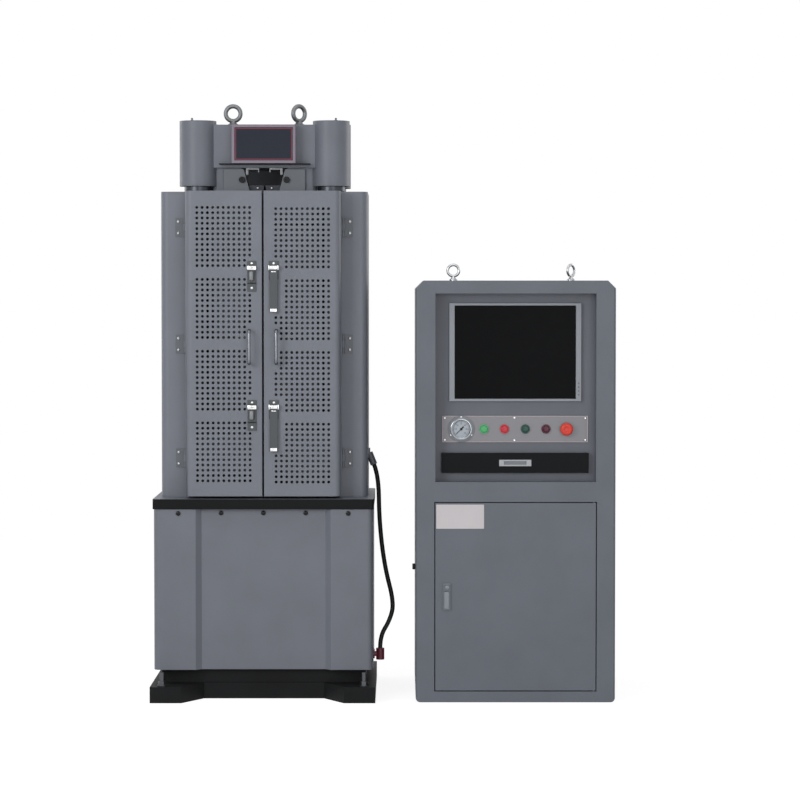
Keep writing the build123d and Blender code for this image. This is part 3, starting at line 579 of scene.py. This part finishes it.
# Each row: the record's slot, the finish, the bevel in millimetres and the pieces
dress = (
    ("base_black", base_black, 3, ["base_casting"]),
    ("frame_grey", machine_grey, 1, ["lower_front_cover", "lower_casing"]),
    ("frame_grey", guide_paint, 1, ["grip_plates"]),
    ("frame_grey", machine_grey, 2.5, ["worktable", "upper_crosshead", "middle_crosshead"]),
    ("guard_grey", guard_grey, 0.6, ["guard_left_panel", "guard_right_panel", "guard_rear_panel"]),
    ("edge_black", table_paint, 1.5, ["table_plate"]),
    ("bright_steel", turned_steel, 1, ["main_cylinder", "lower_platen", "upper_platen"]),
    ("chrome", column_steel, 1, ["columns", "piston"]),
    ("zinc", stud_steel, 0.5, ["anchor_studs"]),
    ("zinc", lock_zinc, 0.5, ["door_lock"]),
    ("latch_grey", strap_steel, 0.5, ["latch_bases", "latch_catches"]),
    ("latch_grey", strap_steel, 0.5, ["upper_latch_lever", "lower_latch_lever"]),
    ("hinge_grey", hinge_paint, 0.4, ["hinge_frame_leaves"]),
    ("hinge_grey", hinge_paint, 1, ["hose_gland"]),
    ("union_red", union_red, 1, ["hose_union"]),
    ("motor_blue_grey", motor_paint, 1, ["drive_motor", "pump_set"]),
    ("bright_steel", jaw_steel, 0.5, ["drive_chain", "motor_wheel"]),
    ("frame_grey", frame_mauve, 1, ["name_box"]),
    ("cabinet_grey", cabinet_grey, 0.8, ["cabinet_shell", "cabinet_door", "oil_tank"]),
    # The instrument panel takes the darker recess coat: painted shade in the cabinet's recess
    ("cabinet_grey", shaded_recess_grey, 0.5, ["instrument_panel"]),
    ("bezel_silver", bezel_silver, 1.5, ["monitor_housing"]),
    ("screen_black", screen_black, 0.4, ["monitor_screen"]),
    ("bezel_silver", pull_silver, 0.8, ["drawer_pull"]),
    ("plate_light", panel_metal, 0.5, ["control_plate"]),
    ("drawer_black", drawer_black, 1, ["keyboard_drawer"]),
    ("knob_black", knob_black, 1.5, ["side_knob"]),
)
for slot, finish, edge, names in dress:
    for name in names:
        softened(name, finish, edge)
# Upward faces of the black table plate take the frame's grey: a painted reflection of light from above on
# its top
table = bpy.data.objects["table_plate_skin"]
table.data.materials.append(machine_grey)
for face in table.data.polygons:
    face.material_index = 1 if face.normal.z > 0.5 else 0
print("dressed", sum(len(row[3]) for row in dress))

# %% [markdown]
# ## Perforated doors
# Each door is a folded steel tray with four zones of punched holes. Holes in the sheet must be real,
# because the machine shows through them. One square cell with a round hole is modelled, two array
# modifiers repeat it over a zone, and Solidify gives it the sheet's thickness. The CAD door is
# copied, windows are cut in it, and the zones fill the windows. No holes are punched behind latches.

# %% Perforated doors
sheet = 0.002
hole_pitch = 0.0164
hole_radius = 0.0045
hole_columns = 11
hole_rows = 12
zone_count = 4
zone_step = 0.2233
highest_row = 1.537
first_column = 0.0405
door_front = -0.240
window_depth = 0.005
# The right door's holes lie a little lower than the left one's
row_drop = {-1: 0, 1: 0.004}
latch_levels = (1.371, 0.938)
# Behind latches and handles: the reach from where the doors meet, the lowest and the highest hole
unpunched = {
    -1: [(-0.055, level - 0.100, level + 0.005) for level in latch_levels] + [(-0.05, 1.035, 1.175)],
    1: [(0.058, level - 0.165, level + 0.005) for level in latch_levels] + [(0.05, 1.035, 1.175)],
}


def hole_cell():
    """A square of sheet with a round hole: the hole's rim is pulled out to the square's sides."""
    nothing_selected()
    bpy.ops.mesh.primitive_circle_add(vertices=12, radius=hole_radius, rotation=(0, 0, math.radians(15)))
    cell = bpy.context.object
    bpy.ops.object.transform_apply(rotation=True)
    bpy.ops.object.mode_set(mode="EDIT")
    bpy.ops.mesh.select_all(action="SELECT")
    bpy.ops.mesh.extrude_edges_move(TRANSFORM_OT_translate={"value": (0, 0, 0)})
    bpy.ops.object.mode_set(mode="OBJECT")
    for corner in cell.data.vertices:
        if corner.select:
            reach = hole_pitch / 2 / max(abs(corner.co.x), abs(corner.co.y))
            corner.co.x *= reach
            corner.co.y *= reach
    return cell


def fill_unpunched(zone, left, top, side):
    """Closes the holes that lie behind latches and handles."""
    only(zone)
    rims = zone.data.vertices
    for vertex in rims:
        column = round(vertex.co.x / hole_pitch) * hole_pitch
        row = round(vertex.co.y / hole_pitch) * hole_pitch
        near = math.hypot(vertex.co.x - column, vertex.co.y - row) < hole_radius * 1.1
        x = left + column
        z = top + row
        vertex.select = near and any(abs(x) < abs(reach) and a < z < b for reach, a, b in unpunched[side])
    if any(vertex.select for vertex in rims):
        bpy.ops.object.mode_set(mode="EDIT")
        bpy.ops.mesh.select_mode(type="VERT")
        bpy.ops.mesh.fill_holes(sides=12)
    nothing_selected()


def perforated_zone(left, top, side):
    """One zone of holes, from its first column and top row, with the sheet's thickness."""
    zone = hole_cell()
    for step in ((hole_pitch, 0, 0), (0, -hole_pitch, 0)):
        repeat = zone.modifiers.new("repeat", "ARRAY")
        repeat.use_relative_offset = False
        repeat.use_constant_offset = True
        repeat.constant_offset_displace = step
        repeat.count = hole_columns if step[0] else hole_rows
        repeat.use_merge_vertices = True
        repeat.merge_threshold = 0.0001
    apply_all(zone)
    fill_unpunched(zone, left, top, side)
    only(zone)
    bpy.ops.object.mode_set(mode="EDIT")
    bpy.ops.mesh.select_all(action="SELECT")
    bpy.ops.mesh.normals_make_consistent(inside=False)
    nothing_selected()
    if zone.data.polygons[0].normal.z < 0:
        zone.data.flip_normals()
    wall = zone.modifiers.new("wall", "SOLIDIFY")
    wall.thickness = sheet
    wall.offset = -1
    apply_all(zone)
    zone.rotation_euler = (math.pi / 2, 0, 0)
    zone.location = (frame_x + left, door_front, top)
    return zone


def perforated_door(side, node, body):
    """A CAD door with windows cut in its front, which zones of punched sheet fill."""
    door = merged_copy(node, node + "_sheet")
    half_cell = hole_pitch / 2
    span = (hole_columns - 1) * hole_pitch
    left = first_column if side > 0 else -first_column - span
    zones = []
    x0 = frame_x + left - half_cell
    for k in range(zone_count):
        top = highest_row - zone_step * k - row_drop[side]
        bottom = top - (hole_rows - 1) * hole_pitch
        low = (x0, door_front - window_depth, bottom - half_cell)
        high = (x0 + span + hole_pitch, door_front + window_depth, top + half_cell)
        cut(door, soft_block(low, high, 0.0001, 1))
        zones.append(perforated_zone(left, top, side))
    for zone in zones:
        only(zone)
        bpy.ops.object.transform_apply(location=True, rotation=True, scale=True)
    door = joined([door] + zones)
    settle(door, node + "_sheet", body, guard_grey, 30)
    even_shading(door)
    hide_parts(node)
    print(door.name, "faces", len(door.data.polygons))


perforated_door(-1, "left_door", "door_left")
perforated_door(1, "right_door", "door_right")

# %% [markdown]
# ## Places on the two units
# Small parts are placed from the middle of their own unit, in millimetres, as on a drawing: x to
# the right, y to the back and z up from the floor. Fronts therefore have a negative y.

# %% Places on the two units
def at_frame(x, y, z):
    """A place on the load frame, from its middle, in millimetres."""
    return (frame_x + x / 1000, y / 1000, z / 1000)


def at_cabinet(x, y, z):
    """A place on the cabinet, from its middle, in millimetres."""
    return (cabinet_x + x / 1000, cabinet_y + y / 1000, z / 1000)


def in_metres(outline):
    """An outline of (radius, height) pairs in millimetres, as the lathe tool takes it."""
    return [(radius / 1000, height / 1000) for radius, height in outline]


def block_on(unit, x, y, z, edge, segments=2):
    """A rounded block on one unit, from its spans in x, y and z and its edge radius."""
    low, high = zip(x, y, z)
    return soft_block(unit(*low), unit(*high), edge / 1000, segments)


def turned_on(unit, place, outline, sides):
    """A lathe part on one unit, facing the front."""
    piece = turned(in_metres(outline), sides, front)
    piece.location = unit(*place)
    return piece


print("frame", at_frame(0, 0, 0), "cabinet", at_cabinet(0, 0, 0))

# %% [markdown]
# ## Screw heads
# Small screws hold the covers, hinges, latches and panels. A pan head is turned from a disc, and a
# cross recess is cut in it with two thin blocks. It is modelled once for each size and set out.

# %% Screw heads
def screw_head(dia, rise):
    """A pan head with a cross recess, standing on the origin and facing the front."""
    r = dia / 2000
    h = rise / 1000
    head = turned([(r, 0), (r, h * 0.4), (r * 0.82, h * 0.8), (r * 0.45, h)], 16)
    for turn in (0, 90):
        slot = soft_block((-r * 0.6, -r * 0.14, h * 0.5), (r * 0.6, r * 0.14, h * 1.5), r * 0.03, 1)
        slot.rotation_euler.z = math.radians(turn)
        cut(head, slot)
    head.rotation_euler.x = math.pi / 2
    return head


def screws(name, dia, rise, places, body, finish):
    """A set of like screws as one piece, from the head's diameter and height in millimetres."""
    heads = set_out(screw_head(dia, rise), places)
    settle(heads, name, body, finish)
    print(name, len(places))


# %% Cover and hinge screws
pillar_front = -245
panel_front = -227
cover_row = 585
cover_places = [at_frame(x, pillar_front, cover_row) for x in (-265, 265)]
cover_places += [at_frame(x, panel_front, cover_row) for x in (-132, 0, 132)]
screws("cover_screws", 15, 6, cover_places, "fixed_frame", knob_black)

leaf_x = 269
leaf_front = -153
leaf_levels = (753, 1111, 1477)
leaf_places = []
for side in (-1, 1):
    for level in leaf_levels:
        leaf_places += [at_frame(side * leaf_x, leaf_front, level + rise) for rise in (-18, 18)]
screws("hinge_screws", 9, 2.5, leaf_places, "fixed_frame", turned_steel)

# %% [markdown]
# ## Name box
# A shallow box on the crosshead's front frames a dark plate. The plate is a cube whose front face is
# inset twice: the ring between the insets is a thin red border with its own finish. A thin black
# strip lies under the box: painted shade, for the dark line of shade beneath it.

# %% Name plate
plate_half = 90.8
plate_low = 1686.2
plate_high = 1788.8
plate_rim = 1.5
border = 3
plate = block_on(at_frame, (-plate_half, plate_half), (-171.6, -170), (plate_low, plate_high), 0.3, 1)
only(plate)
plate.data.materials.append(plate_dark)
plate.data.materials.append(border_red)
front_face = min(plate.data.polygons, key=lambda face: face.normal.y - face.area).index
bpy.ops.object.mode_set(mode="EDIT")
bpy.ops.mesh.select_all(action="DESELECT")
bpy.ops.object.mode_set(mode="OBJECT")
plate.data.polygons[front_face].select = True
bpy.ops.object.mode_set(mode="EDIT")
bpy.ops.mesh.select_mode(type="FACE")
bpy.ops.mesh.inset(thickness=plate_rim / 1000)
bpy.ops.mesh.inset(thickness=border / 1000)
bpy.ops.object.mode_set(mode="OBJECT")
plate_middle = (plate_low + plate_high) / 2
for face in plate.data.polygons:
    from_side = plate_half - 1000 * abs(face.center.x - frame_x)
    from_end = (plate_high - plate_low) / 2 - abs(1000 * face.center.z - plate_middle)
    if face.normal.y < -0.9 and plate_rim < min(from_side, from_end) < plate_rim + border:
        face.material_index = 1
settle(plate, "name_plate", "lifting_frame", None)
# A thin black strip under the name box: painted shade for the dark line beneath the box
shade_strip = block_on(at_frame, (-140, 146), (-168, -128), (1673.8, 1676.8), 0.8)
settle(shade_strip, "name_box_shade_strip", "lifting_frame", edge_black)
print("border faces", sum(face.material_index for face in plate.data.polygons))

# %% [markdown]
# ## Lifting eyes
# Forged eyes stand on the crosshead and on the cabinet for the crane hook. A small circle is spun
# round the eye's axis to make the ring, and a turned collar and neck join it to the bolt.

# %% Lifting eyes
def lifting_eye(ring, wire, rise, collar, place, turn):
    """An eye: its ring's diameter, wire and centre height, and its collar, in millimetres."""
    reach = (ring - wire) / 2000
    centre = rise / 1000
    nothing_selected()
    bpy.ops.mesh.primitive_circle_add(vertices=14, radius=wire / 2000, location=(reach, 0, centre))
    eye = bpy.context.object
    bpy.ops.object.mode_set(mode="EDIT")
    bpy.ops.mesh.select_all(action="SELECT")
    bpy.ops.mesh.spin(steps=36, angle=2 * math.pi, center=(0, 0, centre), axis=(0, 1, 0))
    bpy.ops.mesh.select_all(action="SELECT")
    bpy.ops.mesh.remove_doubles(threshold=0.00005)
    bpy.ops.mesh.normals_make_consistent(inside=False)
    only(eye)
    bpy.ops.object.transform_apply(location=True, rotation=True, scale=True)
    neck = (rise - ring / 2 + wire * 0.5) / 1000
    r = collar / 2000
    foot = turned([(r, 0), (r, neck * 0.3), (r * 0.6, neck * 0.55), (wire / 2000, neck)], 24)
    whole = joined([eye, foot])
    whole.rotation_euler.z = math.radians(turn)
    whole.location = place
    return whole


def eye_pair(name, body, node, finish, sizes, places, turn):
    """Two eyes of one size in place of the CAD's plain ones, the second turned on its bolt."""
    eyes = [lifting_eye(*sizes, place, angle) for place, angle in zip(places, (0, turn))]
    pair = settle(joined(eyes), name, body, finish)
    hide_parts(node)
    print(name, [round(v, 4) for v in pair.dimensions])


head_places = [at_frame(x, 0, 1800) for x in (-105, 105)]
eye_pair("crosshead_eyes", "lifting_frame", "head_eyebolts", dull_steel, (61, 14, 42, 42), head_places, 40)
roof_places = [at_cabinet(x, 0, 1310) for x in (-188, 188)]
eye_pair("cabinet_eyes", "fixed_frame", "cabinet_eyebolts", zinc, (45, 9, 33, 26), roof_places, 50)

# %% [markdown]
# ## Grease nipples
# A small nipple stands on top of each front boss of the crosshead, where the column's nut is greased.
# It is a lathe part: a wide foot, a thin neck and a round nose for the grease gun.

# %% Grease nipples
nipple_outline = [(4.5, 0), (4.5, 3), (2.6, 3.6), (2.6, 6), (3.4, 7), (2, 9)]
boss_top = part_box("upper_crosshead")[1][2]
boss_places = [(frame_x + x, -0.125, boss_top) for x in (-0.227, 0.225)]
nipples = set_out(turned(in_metres(nipple_outline), 12), boss_places)
settle(nipples, "grease_nipples", "lifting_frame", stud_steel)
print("boss top", round(boss_top, 4))

# %% [markdown]
# ## Upper grip
# The wedge jaws sit in a V under the crosshead. Socket screws hold the guide plates, two bent clips
# hang over the V's mouth, and each jaw has a lifting pin. The jaws' inner faces are cut with rows of
# teeth, so that a steel bar cannot slip.

# %% Upper grip
socket_outline = [(10, 0), (10, 7.5), (9, 8.5), (5.5, 8.5), (5, 3)]
sockets = turned(in_metres(socket_outline), 24, front)
sockets = set_out(sockets, [at_frame(x, -122, 1627) for x in (-70, 70)])
settle(sockets, "guide_plate_screws", "lifting_frame", knob_black)
# Each clip is three bars, given by their spans in x, y and z on the right-hand side
clip_bars = (
    ((16, 58), (-127, -121), (1658, 1664.9)),
    ((50, 58), (-127, -124), (1642, 1660)),
    ((16, 20), (-127, -124), (1650, 1660)),
)
clips = []
for side in (-1, 1):
    for x, y, z in clip_bars:
        clips.append(block_on(at_frame, sorted(side * end for end in x), y, z, 1))
settle(joined(clips), "jaw_clips", "lifting_frame", dull_steel)
pin_outline = [(4, 0), (4, 4), (2.8, 5.5), (1.2, 6)]
for side, jaw in ((-1, "upper_jaw_left"), (1, "upper_jaw_right")):
    pin = turned_on(at_frame, (side * 22, -100, 1602), pin_outline, 16)
    settle(pin, jaw + "_pin", jaw, zinc)
print("clip bars", len(clips))

# %% Toothed jaws
tooth_count = 12
tooth_pitch = 0.008
first_tooth = 0.010
tooth_side = 0.003
comb_width = 0.25


def toothed_jaw(node, body):
    """A CAD jaw with rows of teeth across its gripping face, cut by a comb of bars set on edge."""
    piece = merged_copy(node, node + "_teeth")
    low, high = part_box(node)
    grip_x = high[0] if "left" in node else low[0]
    bars = []
    for k in range(tooth_count):
        z = low[2] + first_tooth + k * tooth_pitch
        nothing_selected()
        bpy.ops.mesh.primitive_cube_add(
            size=1, location=(grip_x, 0, z), scale=(tooth_side, comb_width, tooth_side)
        )
        bpy.context.object.rotation_euler.y = math.pi / 4
        bars.append(bpy.context.object)
    cut(piece, joined(bars))
    settle(piece, node + "_teeth", body, jaw_steel)
    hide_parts(node)
    print(piece.name, len(piece.data.polygons))


for level in ("upper", "lower"):
    for side in ("left", "right"):
        toothed_jaw(f"{level}_{side}_jaw", f"{level}_jaw_{side}")

# %% [markdown]
# ## Pull handles
# Each door has a bow handle of chromed bar. A circle is extruded out of the door, spun round the
# first bend, extruded along the grip, spun round the second bend and brought back to the door.

# %% Pull handles
def pull_handle(side, body, node):
    """A bow handle: the bar's radius, its bends, how far it stands out and its length over all."""
    x, _, top = at_frame(side * 42, 0, 1155)
    bar = 0.005
    bend = 0.012
    out = 0.036
    grip = 0.102
    nothing_selected()
    bpy.ops.mesh.primitive_circle_add(
        vertices=16, radius=bar, location=(x, door_front, top), rotation=(math.pi / 2, 0, 0)
    )
    handle = bpy.context.object
    bpy.ops.object.transform_apply(location=True, rotation=True, scale=True)
    bpy.ops.object.mode_set(mode="EDIT")
    bpy.ops.mesh.select_all(action="SELECT")
    straight = out - bend
    bpy.ops.mesh.extrude_edges_move(TRANSFORM_OT_translate={"value": (0, -straight, 0)})
    turn = {"steps": 8, "angle": math.pi / 2, "axis": (-1, 0, 0)}
    bpy.ops.mesh.spin(center=(x, door_front - straight, top - bend), **turn)
    bpy.ops.mesh.extrude_edges_move(TRANSFORM_OT_translate={"value": (0, 0, 2 * bend - grip)})
    bpy.ops.mesh.spin(center=(x, door_front - straight, top - grip + bend), **turn)
    bpy.ops.mesh.extrude_edges_move(TRANSFORM_OT_translate={"value": (0, straight, 0)})
    bpy.ops.mesh.select_all(action="SELECT")
    bpy.ops.mesh.remove_doubles(threshold=0.00005)
    bpy.ops.mesh.fill_holes(sides=0)
    bpy.ops.mesh.normals_make_consistent(inside=False)
    nothing_selected()
    settle(handle, node + "_bar", body, chrome, 50)
    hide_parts(node)
    print(handle.name, [round(v, 4) for v in handle.dimensions])


pull_handle(-1, "door_left", "left_door_handle")
pull_handle(1, "door_right", "right_door_handle")

# %% [markdown]
# ## Latches
# Two toggle latches close the doors. Each has a zinc-bright block on either door, a dark strap with a
# bright thumb tab, and screws. The plates and straps are the CAD's; the bright parts are set on them.

# %% Latches
plate_face = -243
catch_blocks = []
catch_shade_bars = []
catch_tongues = []
catch_screws = []
ear_caps = []
base_screws = []
for level in [1000 * level for level in latch_levels]:
    block_z = (level - 28.3, level - 15.5)
    catch_blocks.append(block_on(at_frame, (-48, -20), (-257, -242), block_z, 1.5))
    # Black bars on the catch are painted shade: one for the dark slit across the bright block, one for the
    # shade line under the tongue
    catch_shade_bars.append(block_on(at_frame, (-36, -24), (-257.4, -256), (level - 22.6, level - 21), 0.2, 1))
    catch_shade_bars.append(block_on(at_frame, (-48, -20), (-246, -242), (level - 71, level - 67.5), 0.8))
    tongue_z = (level - 62, level - 31)
    catch_tongues.append(block_on(at_frame, (-43, -28), (-256.5, plate_face), tongue_z, 5, 4))
    catch_screws += [at_frame(-34, plate_face, level - drop) for drop in (8, 84)]
    ear_z = (level - 28.3, level - 13.7)
    for ear_x in ((18.2, 21.8), (46.2, 49.8)):
        ear_caps.append(block_on(at_frame, ear_x, (-257.6, plate_face), ear_z, 0.8))
    base_screws.append(at_frame(34, plate_face, level - 7.5))
settle(joined(catch_blocks), "catch_blocks", "door_left", bright_zinc)
settle(joined(catch_shade_bars), "catch_shade_bars", "door_left", knob_black)
settle(joined(catch_tongues), "catch_tongues", "door_left", dull_steel)
settle(joined(ear_caps), "latch_ear_caps", "door_right", bright_zinc)
screws("catch_screws", 8, 2.2, catch_screws, "door_left", bright_zinc)
screws("latch_base_screws", 8, 2.2, base_screws, "door_right", bright_zinc)

# %% Latch levers
pivot_drop = 21
lever_length = 138
for name, level in zip(("upper", "lower"), latch_levels):
    pivot = 1000 * level - pivot_drop
    tip = pivot - lever_length
    sleeve = block_on(at_frame, (22.2, 45.8), (-257, -245), (pivot - 6, pivot + 6), 2.5, 4)
    tab = block_on(at_frame, (23, 45), (-262.2, -250), (tip - 0.5, tip + 11), 2.2, 3)
    rib = block_on(at_frame, (27, 41), (-254.5, -252.5), (pivot - 14, pivot - 11), 0.8)
    bright = joined([sleeve, tab, rib])
    settle(bright, f"{name}_lever_fittings", f"lever_{name}", bright_zinc)
    print(bright.name, len(bright.data.polygons))

# %% [markdown]
# ## Lead screws
# Two threaded spindles lift and lower the middle crosshead. One turn of a flat-topped thread is drawn
# as a short line, and the Screw modifier turns and raises it along the spindle. A core and a chain
# wheel complete it.

# %% Lead screws
thread_pitch = 0.016
thread_crest = 0.0246
thread_root = 0.0225
spindle_x = 0.215
spindle_low = 0.110
spindle_high = 1.475


def thread_line():
    """One turn's outline, root to crest, as an open line: a square loses its face and one side."""
    nothing_selected()
    bpy.ops.mesh.primitive_plane_add(size=1)
    line = bpy.context.object
    bpy.ops.object.mode_set(mode="EDIT")
    bpy.ops.mesh.delete(type="ONLY_FACE")
    bpy.ops.object.mode_set(mode="OBJECT")
    flank = ((thread_root, 0), (thread_root, 0.4), (thread_crest, 0.5), (thread_crest, 0.9))
    for point, (radius, share) in zip((0, 1, 3, 2), flank):
        line.data.vertices[point].co = (radius, 0, share * thread_pitch)
    only(line)
    bpy.ops.object.mode_set(mode="EDIT")
    bpy.ops.mesh.select_all(action="DESELECT")
    bpy.ops.object.mode_set(mode="OBJECT")
    for edge in line.data.edges:
        edge.select = set(edge.vertices) == {0, 2}
    bpy.ops.object.mode_set(mode="EDIT")
    bpy.ops.mesh.select_mode(type="EDGE")
    bpy.ops.mesh.delete(type="EDGE")
    nothing_selected()
    return line


def lead_screw(side, body, node):
    """A threaded spindle with its core and chain wheel, in place of the CAD's plain bar."""
    low = spindle_low
    high = spindle_high
    x = frame_x + side * spindle_x
    line = thread_line()
    wind = line.modifiers.new("wind", "SCREW")
    wind.screw_offset = thread_pitch
    wind.iterations = int((high - low) / thread_pitch) - 1
    wind.steps = 20
    wind.render_steps = 20
    apply_all(line)
    line.location = (x, 0, low)
    core = turned([(0.020, low), (0.0224, low + 0.002), (0.0224, high - 0.003), (0.019, high)], 24)
    wheel = turned([(0.1045, 0.300), (0.106, 0.3012), (0.106, 0.3048), (0.1045, 0.306)], 96)
    for piece in (core, wheel):
        piece.location.x = x
    spindle = joined([line, core, wheel])
    only(spindle)
    bpy.ops.object.mode_set(mode="EDIT")
    bpy.ops.mesh.select_all(action="SELECT")
    bpy.ops.mesh.remove_doubles(threshold=0.00001)
    bpy.ops.mesh.normals_make_consistent(inside=False)
    nothing_selected()
    settle(spindle, node + "_thread", body, turned_steel)
    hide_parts(node)
    print(spindle.name, len(spindle.data.polygons), [round(v, 4) for v in spindle.dimensions])


lead_screw(-1, "screw_left", "left_lead_screw")
lead_screw(1, "screw_right", "right_lead_screw")

# %% [markdown]
# ## Pressure gauge
# The gauge shows the oil pressure. Its case is turned from a wide flange, and a bright ring stands on
# it. Inside lie a pale dial with tick marks and plain numbers, and a black needle. The ticks are one
# bar that is copied round the dial, and the numbers are text made into a mesh.

# %% Gauge case
panel_face = -248
panel_row = 848
gauge_x = -168
dial_rise = 4.8
gauge = (gauge_x, panel_face, panel_row)
case_outline = [(28, -24), (28, 0), (41, 0), (41, 3), (40, 4), (35, 4), (33, 4.4), (1, 4.4)]
case = turned_on(at_cabinet, gauge, case_outline, 64)
settle(case, "gauge_body", "fixed_frame", gauge_paint)
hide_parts("gauge_case")
ring_outline = [(27, 4.2), (34, 4.2), (34, 10), (32.5, 11), (29.5, 11), (27, 9)]
ring = turned_on(at_cabinet, gauge, ring_outline, 64)
cut(ring, turned_on(at_cabinet, gauge, [(26.8, 3), (26.8, 12)], 64))
settle(ring, "gauge_ring", "fixed_frame", ring_chrome)
dial = turned_on(at_cabinet, gauge, [(26.8, 4.4), (26.8, 4.7), (26.4, dial_rise)], 64)
settle(dial, "gauge_dial", "fixed_frame", dial_white)
print("gauge ring faces", len(ring.data.polygons))

# %% Dial marks
first_angle = -135
tick_angle = 9
tick_count = 31
figure_every = 5
figure_reach = 0.0165
dial_middle = at_cabinet(gauge_x, panel_face - dial_rise, panel_row)
marks = []
for k in range(tick_count):
    long = k % figure_every == 0
    low = 0.0205 if long else 0.0225
    bar = soft_block((-0.0004, -0.0002, low), (0.0004, 0, 0.0252), 0.0001, 1)
    if long:
        bar.scale.x = 1.6
    bar.rotation_euler.y = math.radians(first_angle + tick_angle * k)
    bar.location = dial_middle
    marks.append(bar)
for k in range(tick_count // figure_every + 1):
    angle = math.radians(first_angle + figure_every * tick_angle * k)
    x, y, z = dial_middle
    place = (x + figure_reach * math.sin(angle), y, z + figure_reach * math.cos(angle))
    nothing_selected()
    bpy.ops.object.text_add(location=place, rotation=(math.pi / 2, 0, 0))
    figure = bpy.context.object
    figure.data.body = str(10 * k)
    figure.data.align_x = "CENTER"
    figure.data.align_y = "CENTER"
    figure.data.size = 0.0062
    figure.data.extrude = 0.0001
    bpy.ops.object.convert(target="MESH")
    marks.append(bpy.context.object)
print("dial marks", len(marks))
settle(joined(marks), "gauge_marks", "fixed_frame", knob_black)

# %% Needle and flange screws
needle = soft_block((-0.0007, -0.0016, 0), (0.0007, -0.0006, 0.021), 0.0003, 1)
tail = soft_block((-0.0022, -0.0016, -0.011), (0.0022, -0.0006, 0), 0.0004, 1)
hub = turned([(0.004, 0), (0.004, 0.0015), (0.003, 0.002)], 24, front)
pointer = joined([needle, tail, hub])
pointer.rotation_euler.y = math.radians(first_angle)
pointer.location = at_cabinet(gauge_x, -252.9, panel_row)
settle(pointer, "gauge_pointer", "needle", knob_black)
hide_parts("gauge_needle")
flange_reach = 37.5
flange_places = []
for angle in (0, 120, 240):
    x = gauge_x + flange_reach * math.sin(math.radians(angle))
    z = panel_row + flange_reach * math.cos(math.radians(angle))
    flange_places.append(at_cabinet(x, -252, z))
screws("gauge_screws", 5, 1.2, flange_places, "fixed_frame", bright_zinc)

# %% [markdown]
# ## Buttons and control plate
# Four domed push buttons sit in rings of their own colour, and a red mushroom head stops the
# machine. Every cap is turned, with a rounded rim that catches the light. Six screws and a thin pale
# line finish the plate.

# %% Push buttons
cap_outline = [(13, -6.3), (13, -3.3), (11, -3.3), (11, 5.2), (10.2, 6.4), (8.5, 6.9), (4, 7)]
rim_outline = [(11.8, 0), (15.2, 0), (15.2, 3), (14, 4.4), (11.8, 4.4)]
rim_bore = [(11.5, -1), (11.5, 6)]


def domed_button(node, body, x, finish):
    """A domed cap that travels with its body, in a fixed ring of the same colour."""
    place = (x, panel_face, panel_row)
    cap = turned_on(at_cabinet, place, cap_outline, 32)
    settle(cap, node + "_cap", body, finish, 60)
    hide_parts(node)
    rim = turned_on(at_cabinet, place, rim_outline, 32)
    cut(rim, turned_on(at_cabinet, place, rim_bore, 32))
    settle(rim, node + "_rim", "fixed_frame", finish)
    print(node, "at", x)


domed_button("start_button", "button_start", -97, start_green)
domed_button("stop_button", "button_stop", -33, stop_red)
domed_button("raise_button", "button_raise", 32, raise_green)
domed_button("lower_button", "button_lower", 96, lower_maroon)

# %% Emergency stop and control plate
stem_outline = [(13, -6.3), (13, -3.3), (11, -3.3), (11, 10)]
head_outline = [(18.5, 10), (20, 12), (20, 17), (18.5, 20.5), (14, 22.3), (9, 22.6), (8, 21.8), (3, 21.8)]
mushroom = turned_on(at_cabinet, (160, panel_face, panel_row), stem_outline + head_outline, 48)
settle(mushroom, "estop_head", "button_estop", estop_red, 60)
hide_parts("estop_button")
plate_places = [at_cabinet(x, panel_face, z) for x in (-219, 219) for z in (814, 882)]
plate_places += [at_cabinet(-2, panel_face, z) for z in (813, 883)]
screws("plate_screws", 6, 1.5, plate_places, "fixed_frame", bright_zinc)
line = block_on(at_cabinet, (-227, 227), (-248.4, panel_face), (807, 889), 0.1, 1)
cut(line, block_on(at_cabinet, (-225, 225), (-249, -247), (809, 887), 0.1, 1))
settle(line, "plate_edge_line", "fixed_frame", edge_line)

# %% [markdown]
# ## Cabinet front
# The monitor's bezel has four small keys, and a bare pale label lies on the door's corner. A label
# is printed film, a tenth of a millimetre thick; it is drawn a little thicker so that it has an edge.
# The drawer's pull has a dished floor, and the door's lock a key way with a slit and a trim line.

# %% Monitor keys, label and drawer pull
key_outline = [(2.5, 0), (2.5, 1), (1.9, 1.6)]
keys = turned(in_metres(key_outline), 16, front)
keys = set_out(keys, [at_cabinet(197, -257, z) for z in (955, 967, 979, 991)])
settle(keys, "monitor_keys", "fixed_frame", hinge_paint)
label = block_on(at_cabinet, (-246, -98), (-300.5, -300), (541, 616), 0.2, 1)
settle(label, "door_label", "cabinet_front_door", label_pale)
# The pull's dished floor takes a darker enamel than the pull: painted shade in the pull's hollow
low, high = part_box("drawer_pull")
dish_low = (low[0] + 0.008, high[1] - 0.0012, low[2] + 0.003)
dish_high = (high[0] - 0.008, high[1], high[2] - 0.003)
dish = soft_block(dish_low, dish_high, 0.0004)
settle(dish, "pull_dish_painted_shade", "drawer", gauge_paint)
print("label", [round(v, 4) for v in label.dimensions])

# %% Lock
lock_x = -214
lock_front = -305
key_way_outline = [(6.5, 0), (6.5, 1.2), (5.6, 1.8), (2, 1.8)]
key_way = turned_on(at_cabinet, (lock_x + 2, lock_front, 358), key_way_outline, 24)
slit_x = (lock_x + 1.2, lock_x + 2.8)
cut(key_way, block_on(at_cabinet, slit_x, (lock_front - 3, lock_front - 1), (354.5, 361.5), 0.1, 1))
trim_x = (lock_x - 11.5, lock_x + 11.5)
trim = block_on(at_cabinet, trim_x, (lock_front - 0.5, lock_front), (368.4, 370.4), 0.2, 1)
lock = settle(joined([key_way, trim]), "lock_key_way", "cabinet_front_door", lock_zinc)
print("lock faces", len(lock.data.polygons))

# %% Finish
bpy.context.view_layer.update()
